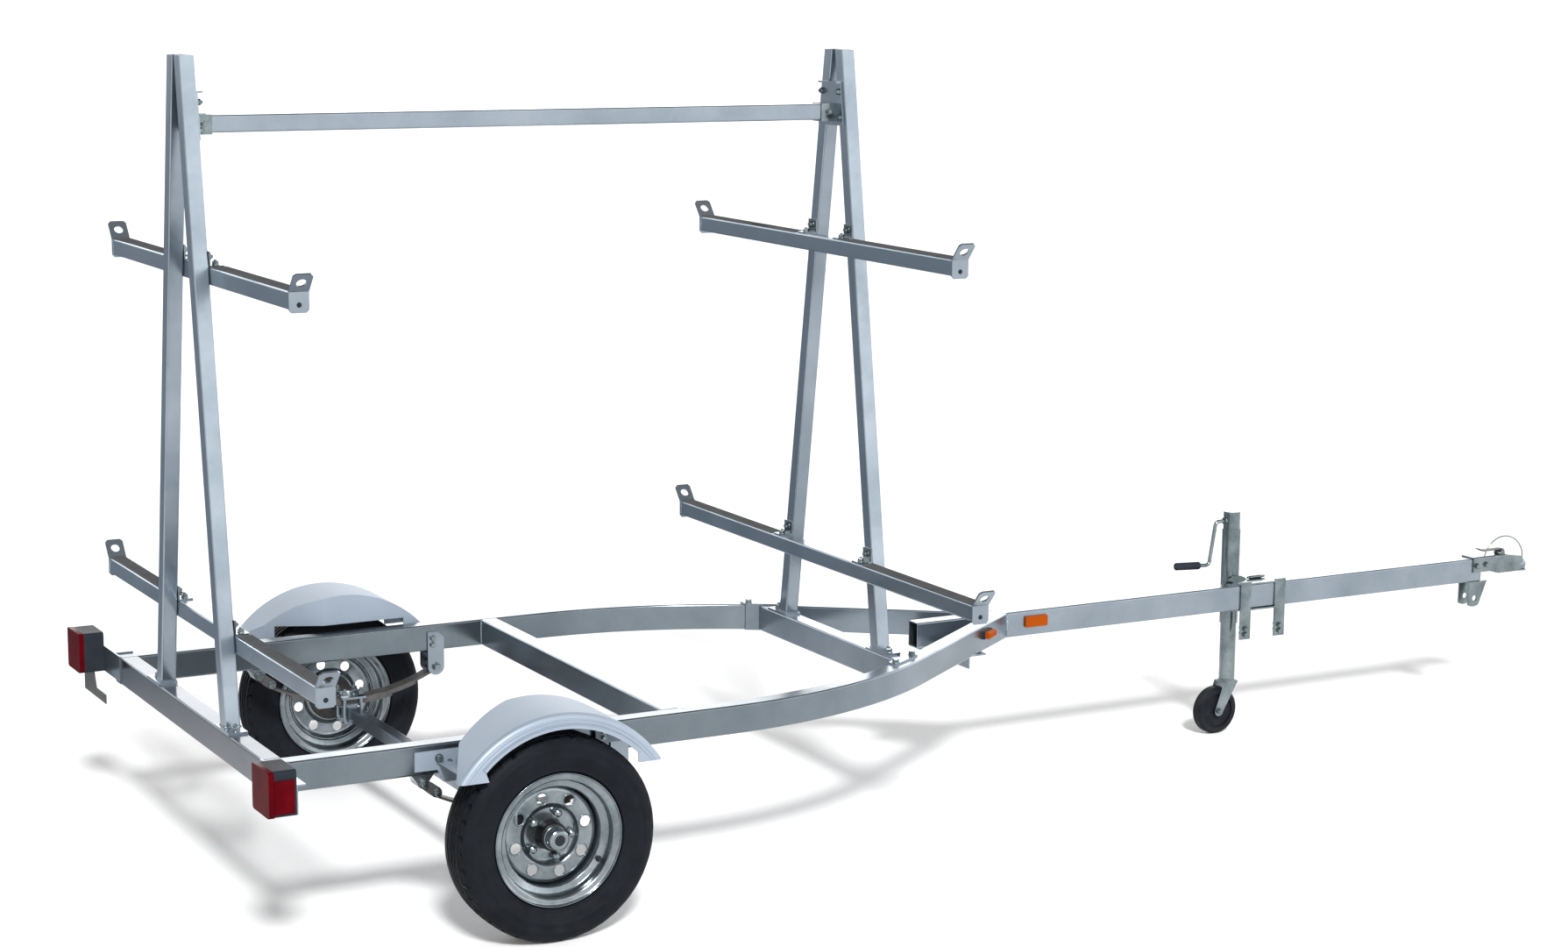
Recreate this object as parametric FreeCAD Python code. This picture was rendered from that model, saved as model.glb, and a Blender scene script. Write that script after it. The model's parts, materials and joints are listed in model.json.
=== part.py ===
import FreeCAD, Part
import math
import os
from FreeCAD import Vector

# A two-wheeled kayak trailer: a boat-shaped frame of rectangular tube on one sprung axle, two A-shaped
# masts that carry four crossing arms with lashing eyes, a long tongue with a ball coupler, and a swivel
# jack with a caster. Millimetres. X runs forward and is measured from the axle, Y runs to the left of the
# centre line, Z is up from the ground. The whole trailer is shifted along X when it is written, so that
# the origin lies on the ground, halfway along it.

# ------------------------------------------------------------------ driving sizes: frame
FRAME_RISE = 227.0           # top of the rails, crossmembers and tongue, above the wheels' centres
RAIL_WIDTH = 50.8            # 2 x 3 inch tube
RAIL_HEIGHT = 76.2
RAIL_WALL = 3.2
RAIL_CORNER = 5.0            # outside corner radius of the rolled tube
RAIL_OUTER_Y = 645.0         # outer face of a rail from the centre line
RAIL_REAR_X = -673.0
BEND_START_X = 577.0         # where a rail starts to curve in
BEND_RADIUS = 1255.0         # of the rail's outer face
BEND_ANGLE = 36.1            # degrees the rail turns through
MIDDLE_CROSS_X = 402.0       # rear faces of the crossmembers
FRONT_CROSS_X = 1223.0
TONGUE_TAIL = 312.7          # tongue's rear end, behind where the rails' outer faces reach its sides
TONGUE_LENGTH = 2160.0
UNDER_ANGLE_AHEAD = 89.0     # angle bar under tongue and rails: its rear edge, from the tongue's rear end
UNDER_ANGLE_LEGS = (60.0, 40.0)
UNDER_ANGLE_HALF_LENGTH = 166.0
PLATE = 5.0                  # common bracket plate

# ------------------------------------------------------------------ driving sizes: masts and arms
LEG_SIZE = 41.3
LEG_WALL = 2.8
LEG_CORNER = 4.5
LEG_FOOT_Y = 269.0           # leg's centre line at the frame's top
LEG_TOP_Y = 29.0             # and at the mast's top
MAST_HEIGHT = 1668.0         # from the frame's top
FRONT_MAST_AHEAD = 29.0      # front mast's centre plane, from the rear face of its crossmember
FOOT_PLATE = 6.0
FOOT_REACH = (33.0, 75.0)    # foot plate's inner and outer edge, from the leg's centre line
ARM_SIZE = 44.45
ARM_WALL = 2.8
ARM_CORNER = 4.5
UPPER_ARM_HALF = 720.0
LOWER_ARM_HALF = 850.0
UPPER_ARM_RISE = 1146.0      # arm's top above the frame's top
LOWER_ARM_RISE = (231.0, 248.0)          # tops of the rear and front lower arm, above the frame's top
EYE_WIDTH = 50.0             # lashing eye plate at each arm end
EYE_DROP = 7.0               # how far the plate reaches below the arm
EYE_LEAN = 40.0              # degrees its tab leans out
EYE_RISE = 45.0
EYE_HOLE = 25.0
CLIP = 4.0                   # angle clips that hold arms to legs
CLIP_WIDTH = 46.0
CLIP_LEG = 40.0
TOP_BAR_DROP = 150.0         # from the mast's top
APEX_PLATE_DROP = (88.0, 210.0)          # plate's top and bottom edge, from the mast's top
APEX_LIP = 18.0
BAR_CRADLE = 44.0

# ------------------------------------------------------------------ driving sizes: axle and wheels
WHEEL_RADIUS = 263.0
WHEEL_CLEARANCE = 77.5       # between a rail's outer face and the tyre
TYRE_WIDTH = 135.0
TREAD_HALF = 45.0             # flat part of the tread, from the middle plane
TYRE_SHOULDER = 25.0
RIM_WIDTH = 101.6
RIM_SEAT_RADIUS = 152.4      # 12 inch rim
RIM_FLANGE = 17.6            # height of the rim's flange over the seat
RIM_WELL = 22.4              # depth of the well under the seat
RIM_WELL_HALF = 20.0
RIM_SHEET = 2.8
DISC_SHEET = 3.5
DISC_DISH = 13.0             # how far the ring with the vents stands out past the hub face
DISC_CREASE_RADIUS = 70.0
DISC_FACE = -10.0            # hub face, outward from the wheel's middle plane
DISC_BORE_RADIUS = 33.0
VENT_COUNT = 8
VENT_RADIUS = 15.0
VENT_CIRCLE_INSET = 33.0     # from the well's bottom in to the circle through the vents
VENT_PHASE = 14.0
LUG_COUNT = 5
LUG_CIRCLE_RADIUS = 57.15    # 5 on 4.5 inch
LUG_HOLE_RADIUS = 6.7
LUG_PHASE = 69.0
HUB_RADIUS = 32.0
HUB_FLANGE = 9.0
HUB_FLANGE_RADIUS = 66.0
HUB_NOSE = 28.0              # outward ends, from the wheel's middle plane
GREASE_CAP_END = 60.0
GREASE_CAP_RADIUS = 24.0
SPINDLE_END = 22.0
SPINDLE_RADIUS = 13.5
BEARING_GAP = 0.05
BEAM_SIZE = 38.1
BEAM_WALL = 4.8
BEAM_DROP = 8.0              # beam's centre below the spindles
BEAM_SETBACK = 82.0          # beam's end, from the wheel's middle plane
SPRING_WIDTH = 44.45
LEAF = 6.35
LEAF_SHARES = (1.0, 0.74, 0.44)   # each leaf's share of the top leaf's span, from the top down
FRONT_EYE_AHEAD = 30.0       # spring's front eye, ahead of the fender's front stay
REAR_EYE_BEHIND = 65.0       # and its rear eye, behind the front end of the fender's rear plate
SPRING_EYE_DROP = 47.8       # eyes below the rail's underside
SPRING_SEAT = 6.0
SPRING_EYE_RADIUS = 14.0
SPRING_BOLT_RADIUS = 6.3
SHACKLE_LEAN = 35.0          # shackle's upper bolt behind its lower one
SHACKLE_TOP_DROP = 20.8      # below the rail's underside
HANGER_PLATE = 6.0
U_BOLT_RADIUS = 5.0
TIE_EDGE = 7.0               # tie plate's edge beyond the U-bolts

# ------------------------------------------------------------------ driving sizes: fenders and lamps
FENDER_ROOM = 63.0           # between the tread and the fender's skin
OPENING_ROOM = 25.0          # between the tread and the edge of the wheel opening
FENDER_GAP = 15.0            # between the rail and the fender's inner wall
FENDER_OVERHANG = 80.0       # fender's outer side, from the wheel's middle plane
FENDER_SHEET = 2.5
FENDER_FOOT_DROP = 48.5      # fender's feet below the frame's top
# the next lengths along X are measured in towards the axle from the tread, at its rear or its front
# inner rear corner cut away in plan, with Y from the inner side
FENDER_CUT_AT = ((203.0, 0.0), (48.0, 68.0), (-15.0, 200.0))
OPENING_FEET_IN = (68.0, 58.0)           # rear and front end of the wheel opening at the foot
WINDOW_IN = (75.0, 78.0)     # rear and front end of the inner wall's cut-out
WINDOW_RISE = 15.0           # and its top above the frame's top
FENDER_LIP = (8.0, 4.0)      # width and stand-out of the bead round the wheel opening
FENDER_EDGE = 14.0           # radius along the outer edge of the skin
REAR_BRACKET_IN = (25.0, 73.0)           # where the fender's stays leave the rail
FRONT_BRACKET_IN = (76.0, 36.0)
REAR_PLATE_IN = (-37.0, 87.0)            # plate on the rail that carries the rear stay
BRACKET_DROP = 16.0          # top of the plates that carry the stays, below the frame's top
PLATE_TAB = (48.0, 64.0, 22.0)           # the plate's front hook: lower and upper width, drop below the rail
LAMP_DEPTH = 70.0            # lens and housing, from the bracket's rear face
LAMP_LENS = 14.0
LAMP_WIDTH = 120.0
LAMP_OFFSET = 99.0           # lamp's inner end, outward from the rail
LAMP_REACH = (70.0, 42.0)    # lamp's bottom below and top above the frame's top
LAMP_BRACKET = 4.0
LAMP_CORNER = 9.0
LAMP_WRAP = 5.0              # thickness of the lens on the lamp's outer side
REFLECTOR_AHEAD = 375.0      # side reflector's rear end, from the tongue's rear end
REFLECTOR_LENGTH = 78.0
REFLECTOR_Z = (-12.0, 21.0)              # from the tongue's middle
MARKER_ALONG = 470.0         # how far down the straight front run a marker lamp sits
MARKER_RISE = 11.0
MARKER_BASE = (60.0, 8.0, 24.0)          # length, thickness, height
MARKER_LENS = (52.0, 17.0, 20.0)
STRIP_DROP = 70.0            # licence strip's bottom, below the lamp
STRIP_HEIGHT = 26.0
STRIP_LENGTH = 210.0

# ------------------------------------------------------------------ driving sizes: coupler and jack
COUPLER_LAP = 37.0           # how far the coupler reaches back over the tongue
COUPLER_REACH = 205.0        # its tip, ahead of the tongue's end
COUPLER_PLATE = 4.5
COUPLER_SKIRT = 16.0         # bottom edge round the socket, below the ball's centre
BALL_RADIUS = 25.4           # 2 inch hitch ball
BALL_ROOM = 1.6
BALL_DROP = 40.0             # ball's centre below the frame's top
LATCH_PIVOT_AT = (99.0, 13.0)            # ahead of the tongue's end, and above the frame's top
LATCH_PIN_RADIUS = 3.5
CHAIN_CHEEK = 77.8           # depth of the chain bracket's cheeks under the tongue
CHAIN_HOLE_DROP = 55.8
CHAIN_HOLE_RADIUS = 9.0
LATCH_EARS = (-17.0, 14.0)   # right faces of the two ears
EAR_SHEET = 3.0
JACK_BACK = 955.0            # jack's centre line, behind the tongue's end
JACK_STANDOFF = 41.0         # and outward from the tongue's side
JACK_TUBE_RADIUS = 28.575
JACK_TUBE_WALL = 3.2
JACK_TUBE_REACH = (136.0, 165.0)         # bottom below and top above the frame's top
JACK_HEAD = 55.0
JACK_HEAD_RADIUS = 26.0
RAM_RADIUS = 25.0
RAM_WALL = 3.0
RAM_DROP = 15.0              # ram's upper end, below the frame's top
CRANK_RISE = 26.0            # crank's spindle, above the tube's top
CRANK_ARM = 136.0
CRANK_ROD_RADIUS = 6.0
GRIP_RADIUS = 12.0
GRIP_LENGTH = 92.0
INDEX_DISC_RADIUS = 58.0
INDEX_DISC = 6.0
PIVOT_RADIUS = 10.0
PLUNGER_RADIUS = 5.0
PLUNGER_PIN_RADIUS = 3.5
PLUNGER_DRAWN = 3.0          # pin's tip back from the disc's rim
PLUNGER_INSET = 1.0          # plunger's middle plane, inward from the clamp's outer face
SLIP = 0.3                   # gap between flat faces that turn on each other
CLAMP_REACH = (28.0, 145.0)  # jack's clamp, behind and ahead of the jack's centre line
STRAP_WIDTH = 40.0
STRAP_DROP = 172.0           # straps' lower end, below the frame's top
CASTER_RADIUS = 75.0
CASTER_WIDTH = 38.0
CASTER_TRAIL = 44.0
CASTER_PIN_RADIUS = 6.0
FORK_PLATE = 3.0
FORK_GAP = 3.5               # wheel to fork leg
FORK_CROWN_ROOM = 18.0       # crown's top, above the caster wheel

# ------------------------------------------------------------------ sizes that follow
FRAME_TOP = WHEEL_RADIUS + FRAME_RISE
FRAME_BOTTOM = FRAME_TOP - RAIL_HEIGHT
FRAME_MIDDLE = FRAME_TOP - RAIL_HEIGHT / 2
RAIL_INNER_Y = RAIL_OUTER_Y - RAIL_WIDTH
RAIL_MIDDLE_Y = RAIL_OUTER_Y - RAIL_WIDTH / 2
TONGUE_SIDE_Y = RAIL_WIDTH / 2
BEND_END_X = BEND_START_X + BEND_RADIUS * math.sin(math.radians(BEND_ANGLE))
BEND_END_Y = RAIL_OUTER_Y - BEND_RADIUS * (1 - math.cos(math.radians(BEND_ANGLE)))
RAIL_MEETING_X = BEND_END_X + (BEND_END_Y - TONGUE_SIDE_Y) / math.tan(math.radians(BEND_ANGLE))
TONGUE_REAR_X = round(RAIL_MEETING_X - TONGUE_TAIL)   # to the whole millimetre
TONGUE_FRONT_X = TONGUE_REAR_X + TONGUE_LENGTH
UNDER_ANGLE_X = TONGUE_REAR_X + UNDER_ANGLE_AHEAD
REFLECTOR_X = (TONGUE_REAR_X + REFLECTOR_AHEAD, TONGUE_REAR_X + REFLECTOR_AHEAD + REFLECTOR_LENGTH)
REAR_CROSS_X = RAIL_REAR_X
REAR_MAST_X = REAR_CROSS_X + RAIL_WIDTH - LEG_SIZE / 2
FRONT_MAST_X = FRONT_CROSS_X + FRONT_MAST_AHEAD
REAR_ARM_FACE = REAR_MAST_X + LEG_SIZE / 2
FRONT_ARM_FACE = FRONT_MAST_X - LEG_SIZE / 2
FOOT_INNER_Y = LEG_FOOT_Y - FOOT_REACH[0]
FOOT_OUTER_Y = LEG_FOOT_Y + FOOT_REACH[1]
MAST_TOP = FRAME_TOP + MAST_HEIGHT
UPPER_ARM_TOP = FRAME_TOP + UPPER_ARM_RISE
LOWER_REAR_ARM_TOP = FRAME_TOP + LOWER_ARM_RISE[0]
LOWER_FRONT_ARM_TOP = FRAME_TOP + LOWER_ARM_RISE[1]
TOP_BAR_TOP = MAST_TOP - TOP_BAR_DROP
APEX_PLATE_TOP = MAST_TOP - APEX_PLATE_DROP[0]
APEX_PLATE_BOTTOM = MAST_TOP - APEX_PLATE_DROP[1]
WHEEL_Y = RAIL_OUTER_Y + WHEEL_CLEARANCE + TYRE_WIDTH / 2
RIM_FLANGE_RADIUS = RIM_SEAT_RADIUS + RIM_FLANGE
RIM_WELL_RADIUS = RIM_SEAT_RADIUS - RIM_WELL
VENT_CIRCLE_RADIUS = RIM_WELL_RADIUS - VENT_CIRCLE_INSET
BEAM_Z = WHEEL_RADIUS - BEAM_DROP
BEAM_HALF_LENGTH = WHEEL_Y - BEAM_SETBACK
SPRING_BOTTOM = BEAM_Z + BEAM_SIZE / 2 + SPRING_SEAT
FRONT_BRACKET = (WHEEL_RADIUS - FRONT_BRACKET_IN[0], WHEEL_RADIUS - FRONT_BRACKET_IN[1])
REAR_BRACKET = (REAR_BRACKET_IN[0] - WHEEL_RADIUS, REAR_BRACKET_IN[1] - WHEEL_RADIUS)
REAR_PLATE = (REAR_PLATE_IN[0] - WHEEL_RADIUS, REAR_PLATE_IN[1] - WHEEL_RADIUS)
FRONT_EYE = (FRONT_BRACKET[1] + FRONT_EYE_AHEAD, FRAME_BOTTOM - SPRING_EYE_DROP)
REAR_EYE = (REAR_PLATE[1] - REAR_EYE_BEHIND, FRAME_BOTTOM - SPRING_EYE_DROP)
SHACKLE_TOP = (REAR_EYE[0] - SHACKLE_LEAN, FRAME_BOTTOM - SHACKLE_TOP_DROP)
FENDER_CUT = [(x - WHEEL_RADIUS, y) for x, y in FENDER_CUT_AT]
FENDER_OPENING_FEET = (OPENING_FEET_IN[0] - WHEEL_RADIUS, WHEEL_RADIUS - OPENING_FEET_IN[1])
FENDER_WINDOW = (WINDOW_IN[0] - WHEEL_RADIUS, WHEEL_RADIUS - WINDOW_IN[1])
FENDER_RADIUS = WHEEL_RADIUS + FENDER_ROOM
FENDER_OPENING_RADIUS = WHEEL_RADIUS + OPENING_ROOM
FENDER_INNER_Y = RAIL_OUTER_Y + FENDER_GAP
FENDER_OUTER_Y = WHEEL_Y + FENDER_OVERHANG
FENDER_FOOT_Z = FRAME_TOP - FENDER_FOOT_DROP
BRACKET_TOP = FRAME_TOP - BRACKET_DROP
LAMP_FRONT_X = RAIL_REAR_X - LAMP_BRACKET
LAMP_REAR_X = LAMP_FRONT_X - LAMP_DEPTH
LAMP_INNER_Y = RAIL_OUTER_Y + LAMP_OFFSET
LAMP_OUTER_Y = LAMP_INNER_Y + LAMP_WIDTH
LAMP_BOTTOM = FRAME_TOP - LAMP_REACH[0]
LAMP_TOP = FRAME_TOP + LAMP_REACH[1]
COUPLER_REAR_X = TONGUE_FRONT_X - COUPLER_LAP
COUPLER_TIP_X = TONGUE_FRONT_X + COUPLER_REACH
BALL_Z = FRAME_TOP - BALL_DROP
LATCH_PIVOT = (TONGUE_FRONT_X + LATCH_PIVOT_AT[0], FRAME_TOP + LATCH_PIVOT_AT[1])
JACK_X = TONGUE_FRONT_X - JACK_BACK
JACK_Y = TONGUE_SIDE_Y + JACK_STANDOFF
JACK_TUBE_BOTTOM = FRAME_TOP - JACK_TUBE_REACH[0]
JACK_TUBE_TOP = FRAME_TOP + JACK_TUBE_REACH[1]
JACK_HEAD_TOP = JACK_TUBE_TOP + JACK_HEAD
RAM_TOP = FRAME_TOP - RAM_DROP
CRANK_Z = JACK_TUBE_TOP + CRANK_RISE
CLAMP_REAR_X = JACK_X - CLAMP_REACH[0]
CLAMP_FRONT_X = JACK_X + CLAMP_REACH[1]
STRAP_BOTTOM = FRAME_TOP - STRAP_DROP
FORK_CROWN_TOP = 2 * CASTER_RADIUS + FORK_CROWN_ROOM
ORIGIN_X = (LAMP_REAR_X + COUPLER_TIP_X) / 2
BIG = 4000.0


# ------------------------------------------------------------------ helpers
def box(x, y, z):
    """A block between two values on each axis."""
    return Part.makeBox(x[1] - x[0], y[1] - y[0], z[1] - z[0], Vector(x[0], y[0], z[0]))


def cylinder(radius, start, end):
    start = Vector(*start)
    along = Vector(*end) - start
    return Part.makeCylinder(radius, along.Length, start, along)


def fuse(shapes):
    shapes = list(shapes)
    return shapes[0].multiFuse(shapes[1:]).removeSplitter()


def mirrored(shape):
    """The same piece on the right side."""
    return shape.mirror(Vector(0, 0, 0), Vector(0, 1, 0))


def place(plane, a, b, level):
    """A point of a drawing on the named plane, at that level on the third axis."""
    return {"XY": Vector(a, b, level), "XZ": Vector(a, level, b), "YZ": Vector(level, a, b)}[plane]


def outline(plane, steps, level=0.0):
    """A closed face. A step is a point joined by a line, or (middle, end) joined by an arc."""
    edges = []
    here = place(plane, *steps[0], level)
    for step in list(steps[1:]) + [steps[0]]:
        if isinstance(step[0], tuple):
            middle = place(plane, *step[0], level)
            end = place(plane, *step[1], level)
            edges.append(Part.Arc(here, middle, end).toShape())
        else:
            end = place(plane, *step, level)
            if (end - here).Length < 1e-6:
                continue
            edges.append(Part.makeLine(here, end))
        here = end
    return Part.Face(Part.Wire(edges))


def slab(plane, steps, low, high):
    """A drawing on the named plane, thickened between two levels of the third axis."""
    along = place(plane, 0, 0, high - low)
    return outline(plane, steps, low).extrude(along)


def on_circle(radius, degrees, centre=(0.0, 0.0)):
    angle = math.radians(degrees)
    return (centre[0] + radius * math.cos(angle), centre[1] + radius * math.sin(angle))


def offset_line(points, distance):
    """An open line of points moved sideways to its left, with mitred corners."""
    moved = []
    for i, (a, b) in enumerate(points):
        normals = []
        for first, second in ((i - 1, i), (i, i + 1)):
            if first < 0 or second >= len(points):
                continue
            da = points[second][0] - points[first][0]
            db = points[second][1] - points[first][1]
            length = math.hypot(da, db)
            normals.append((-db / length, da / length))
        na = sum(n[0] for n in normals)
        nb = sum(n[1] for n in normals)
        share = distance * len(normals) / (na * na + nb * nb)
        moved.append((a + na * share, b + nb * share))
    return moved


def bent_plate(plane, points, thickness, low, high):
    """Sheet folded along a line of points; it lies to the left of the line."""
    steps = list(points) + list(reversed(offset_line(points, thickness)))
    return slab(plane, steps, low, high)


def bent_rod(points, bend, radius):
    """A round rod along straight runs joined by tangent arcs."""
    points = [Vector(*p) for p in points]
    edges = []
    here = points[0]
    for before, corner, after in zip(points, points[1:], points[2:]):
        back = (before - corner).normalize()
        ahead = (after - corner).normalize()
        half = back.getAngle(ahead) / 2
        reach = bend / math.tan(half)
        middle = (back + ahead).normalize() * (bend / math.sin(half) - bend)
        edges.append(Part.makeLine(here, corner + back * reach))
        edges.append(Part.Arc(corner + back * reach, corner + middle, corner + ahead * reach).toShape())
        here = corner + ahead * reach
    edges.append(Part.makeLine(here, points[-1]))
    path = Part.Wire(edges)
    ring = Part.Wire(Part.makeCircle(radius, points[0], points[1] - points[0]))
    return path.makePipeShell([ring], True, True)


def tube_section(width, height, wall, corner):
    """A rounded rectangular ring on the YZ plane, centred on the origin."""
    y = width / 2
    z = height / 2
    c = corner
    s = corner * (1 - math.sqrt(0.5))
    outer = outline("YZ", [
        (y - c, z), (-y + c, z), ((-y + s, z - s), (-y, z - c)),
        (-y, -z + c), ((-y + s, -z + s), (-y + c, -z)),
        (y - c, -z), ((y - s, -z + s), (y, -z + c)),
        (y, z - c), ((y - s, z - s), (y - c, z))])
    y = y - wall
    z = z - wall
    inner = outline("YZ", [(y, z), (-y, z), (-y, -z), (y, -z)])
    return outer.cut(inner).Faces[0]


def tube_x(section, x, y, z):
    """A tube of that section between two X values."""
    shape = section.extrude(Vector(x[1] - x[0], 0, 0))
    shape.translate(Vector(x[0], y, z))
    return shape


def tube_y(section, y, x, z):
    """The same tube laid across the trailer."""
    shape = section.extrude(Vector(y[1] - y[0], 0, 0))
    shape.rotate(Vector(0, 0, 0), Vector(0, 0, 1), 90)
    shape.translate(Vector(x, y[0], z))
    return shape


def turned(profile, centre, axis, degrees=360):
    """A face spun about an axis."""
    return profile.revolve(Vector(*centre), Vector(*axis), degrees)


def ring_of_holes(count, circle, phase, radius, centre, y):
    """Cylinders along Y, evenly spaced on a circle in the XZ plane."""
    holes = []
    for i in range(count):
        x, z = on_circle(circle, phase + i * 360 / count, centre)
        holes.append(cylinder(radius, (x, y[0], z), (x, y[1], z)))
    return holes


NODES = {}


def keep(name, *shapes):
    NODES[name] = list(shapes)


def both_sides(name, shape):
    """Left and right pieces, each in its own node."""
    keep(name + "_left", shape)
    keep(name + "_right", mirrored(shape))


# ------------------------------------------------------------------ frame
RAIL_SECTION = tube_section(RAIL_WIDTH, RAIL_HEIGHT, RAIL_WALL, RAIL_CORNER)


def plan_inside(inset, z):
    """The room between the rails in plan, its edge that far inside the rails' inner faces."""
    y = RAIL_INNER_Y - inset
    radius = BEND_RADIUS - RAIL_WIDTH - inset
    centre = (BEND_START_X, RAIL_OUTER_Y - BEND_RADIUS)
    middle = on_circle(radius, 90 - BEND_ANGLE / 2, centre)
    end = on_circle(radius, 90 - BEND_ANGLE, centre)
    nose_x = end[0] + end[1] / math.tan(math.radians(BEND_ANGLE))
    steps = [(RAIL_REAR_X, 0.0), (nose_x, 0.0), end, (middle, (BEND_START_X, y)), (RAIL_REAR_X, y)]
    left = slab("XY", steps, z[0], z[1])
    return left.fuse(mirrored(left)).removeSplitter()


def rail():
    """Straight, then curved in, then straight up to the tongue's side."""
    centre = Vector(BEND_START_X, RAIL_OUTER_Y - BEND_RADIUS, 0)
    angle = math.radians(BEND_ANGLE)
    start = RAIL_SECTION.copy()
    start.translate(Vector(BEND_START_X, RAIL_MIDDLE_Y, FRAME_MIDDLE))
    end = start.copy()
    end.rotate(centre, Vector(0, 0, 1), -BEND_ANGLE)
    run = (BEND_END_Y - TONGUE_SIDE_Y) / math.sin(angle)
    whole = fuse([
        start.extrude(Vector(RAIL_REAR_X - BEND_START_X, 0, 0)),
        start.revolve(centre, Vector(0, 0, -1), BEND_ANGLE),
        end.extrude(Vector(math.cos(angle) * run, -math.sin(angle) * run, 0))])
    return whole.cut(box((0, BIG), (-BIG, TONGUE_SIDE_Y), (0, BIG)))


def make_frame():
    both_sides("rail", rail())
    half = RAIL_WIDTH / 2
    for name, rear_x, inset in (("rear", REAR_CROSS_X, 0.0), ("middle", MIDDLE_CROSS_X, 0.0),
                                ("front", FRONT_CROSS_X, PLATE)):
        full = tube_y(RAIL_SECTION, (-RAIL_OUTER_Y, RAIL_OUTER_Y), rear_x + half, FRAME_MIDDLE)
        keep("crossmember_" + name, full.common(plan_inside(inset, (0, FRAME_TOP + PLATE))))
    keep("tongue", tube_x(RAIL_SECTION, (TONGUE_REAR_X, TONGUE_FRONT_X), 0, FRAME_MIDDLE))
    flat, drop = UNDER_ANGLE_LEGS
    keep("tongue_cross_angle", bent_plate(
        "XZ", [(UNDER_ANGLE_X + flat, FRAME_BOTTOM), (UNDER_ANGLE_X, FRAME_BOTTOM),
               (UNDER_ANGLE_X, FRAME_BOTTOM - drop)],
        PLATE, -UNDER_ANGLE_HALF_LENGTH, UNDER_ANGLE_HALF_LENGTH))


def make_cross_saddles():
    """Plates on the rails' inner faces, each with a lip over its rail, at the front crossmember's ends."""
    reach = 34.0
    lip = 26.0
    top = FRAME_TOP + PLATE
    wall = plan_inside(0, (FRAME_BOTTOM, top)).cut(plan_inside(PLATE, (FRAME_BOTTOM, top)))
    cap = plan_inside(-lip, (FRAME_TOP, top)).cut(plan_inside(0, (FRAME_TOP, top)))
    span = box((FRONT_CROSS_X - reach, FRONT_CROSS_X + RAIL_WIDTH + reach), (0, BIG), (0, BIG))
    left = wall.fuse(cap).removeSplitter().common(span)
    keep("crossmember_saddles", left, mirrored(left))


# ------------------------------------------------------------------ masts
LEG_SLOPE = (LEG_FOOT_Y - LEG_TOP_Y) / (MAST_TOP - FRAME_TOP)
LEG_SECTION = tube_section(LEG_SIZE, LEG_SIZE, LEG_WALL, LEG_CORNER)


def leg_y(z):
    """Centre line of a left leg at a height."""
    return LEG_FOOT_Y - LEG_SLOPE * (z - FRAME_TOP)


def leg(mast_x):
    lean = math.degrees(math.atan(LEG_SLOPE))
    shape = tube_x(LEG_SECTION, (-200, MAST_TOP + 200), 0, 0)
    shape.rotate(Vector(0, 0, 0), Vector(0, 1, 0), -90)
    shape.rotate(Vector(0, 0, 0), Vector(1, 0, 0), lean)
    shape.translate(Vector(mast_x, leg_y(0), 0))
    room = box((mast_x - LEG_SIZE, mast_x + LEG_SIZE), (-BIG, BIG), (FRAME_TOP + FOOT_PLATE, MAST_TOP))
    return shape.common(room)


def foot(cross_x):
    x = (cross_x, cross_x + RAIL_WIDTH)
    return box(x, (FOOT_INNER_Y, FOOT_OUTER_Y), (FRAME_TOP, FRAME_TOP + FOOT_PLATE))


def apex_plate(face_x, outward):
    """Plate across both legs with a lip along its top; outward is +1 where it faces forward."""
    low = leg_y(APEX_PLATE_BOTTOM) + LEG_SIZE / 4
    high = leg_y(APEX_PLATE_TOP) + LEG_SIZE / 4
    steps = [(-low, APEX_PLATE_BOTTOM), (low, APEX_PLATE_BOTTOM),
             (high, APEX_PLATE_TOP), (-high, APEX_PLATE_TOP)]
    x = sorted((face_x, face_x + outward * PLATE))
    lip_x = sorted((face_x, face_x + outward * APEX_LIP))
    lip = box(lip_x, (-high, high), (APEX_PLATE_TOP - PLATE, APEX_PLATE_TOP))
    return slab("YZ", steps, x[0], x[1]).fuse(lip).removeSplitter()


def bar_cradle(face_x, outward):
    """Channel that holds the end of the top bar."""
    x = sorted((face_x, face_x + outward * BAR_CRADLE))
    half = ARM_SIZE / 2
    bottom = TOP_BAR_TOP - ARM_SIZE
    lines = [(half, TOP_BAR_TOP + 2), (half, bottom), (-half, bottom), (-half, TOP_BAR_TOP + 2)]
    return bent_plate("YZ", lines, CLIP, x[0], x[1])


def make_masts():
    feet = []
    for name, mast_x, cross_x in (("rear", REAR_MAST_X, REAR_CROSS_X),
                                  ("front", FRONT_MAST_X, FRONT_CROSS_X)):
        both_sides("mast_leg_" + name, leg(mast_x))
        plate = foot(cross_x)
        feet += [plate, mirrored(plate)]
    keep("mast_feet", *feet)
    ends = ((REAR_ARM_FACE, 1), (FRONT_ARM_FACE, -1))
    keep("apex_plates", *[apex_plate(face, outward) for face, outward in ends])
    keep("top_bar_cradles", *[bar_cradle(face + outward * PLATE, outward) for face, outward in ends])
    section = tube_section(ARM_SIZE, ARM_SIZE, ARM_WALL, ARM_CORNER)
    span = (REAR_ARM_FACE + PLATE, FRONT_ARM_FACE - PLATE)
    keep("top_bar", tube_x(section, span, 0, TOP_BAR_TOP - ARM_SIZE / 2))


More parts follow.
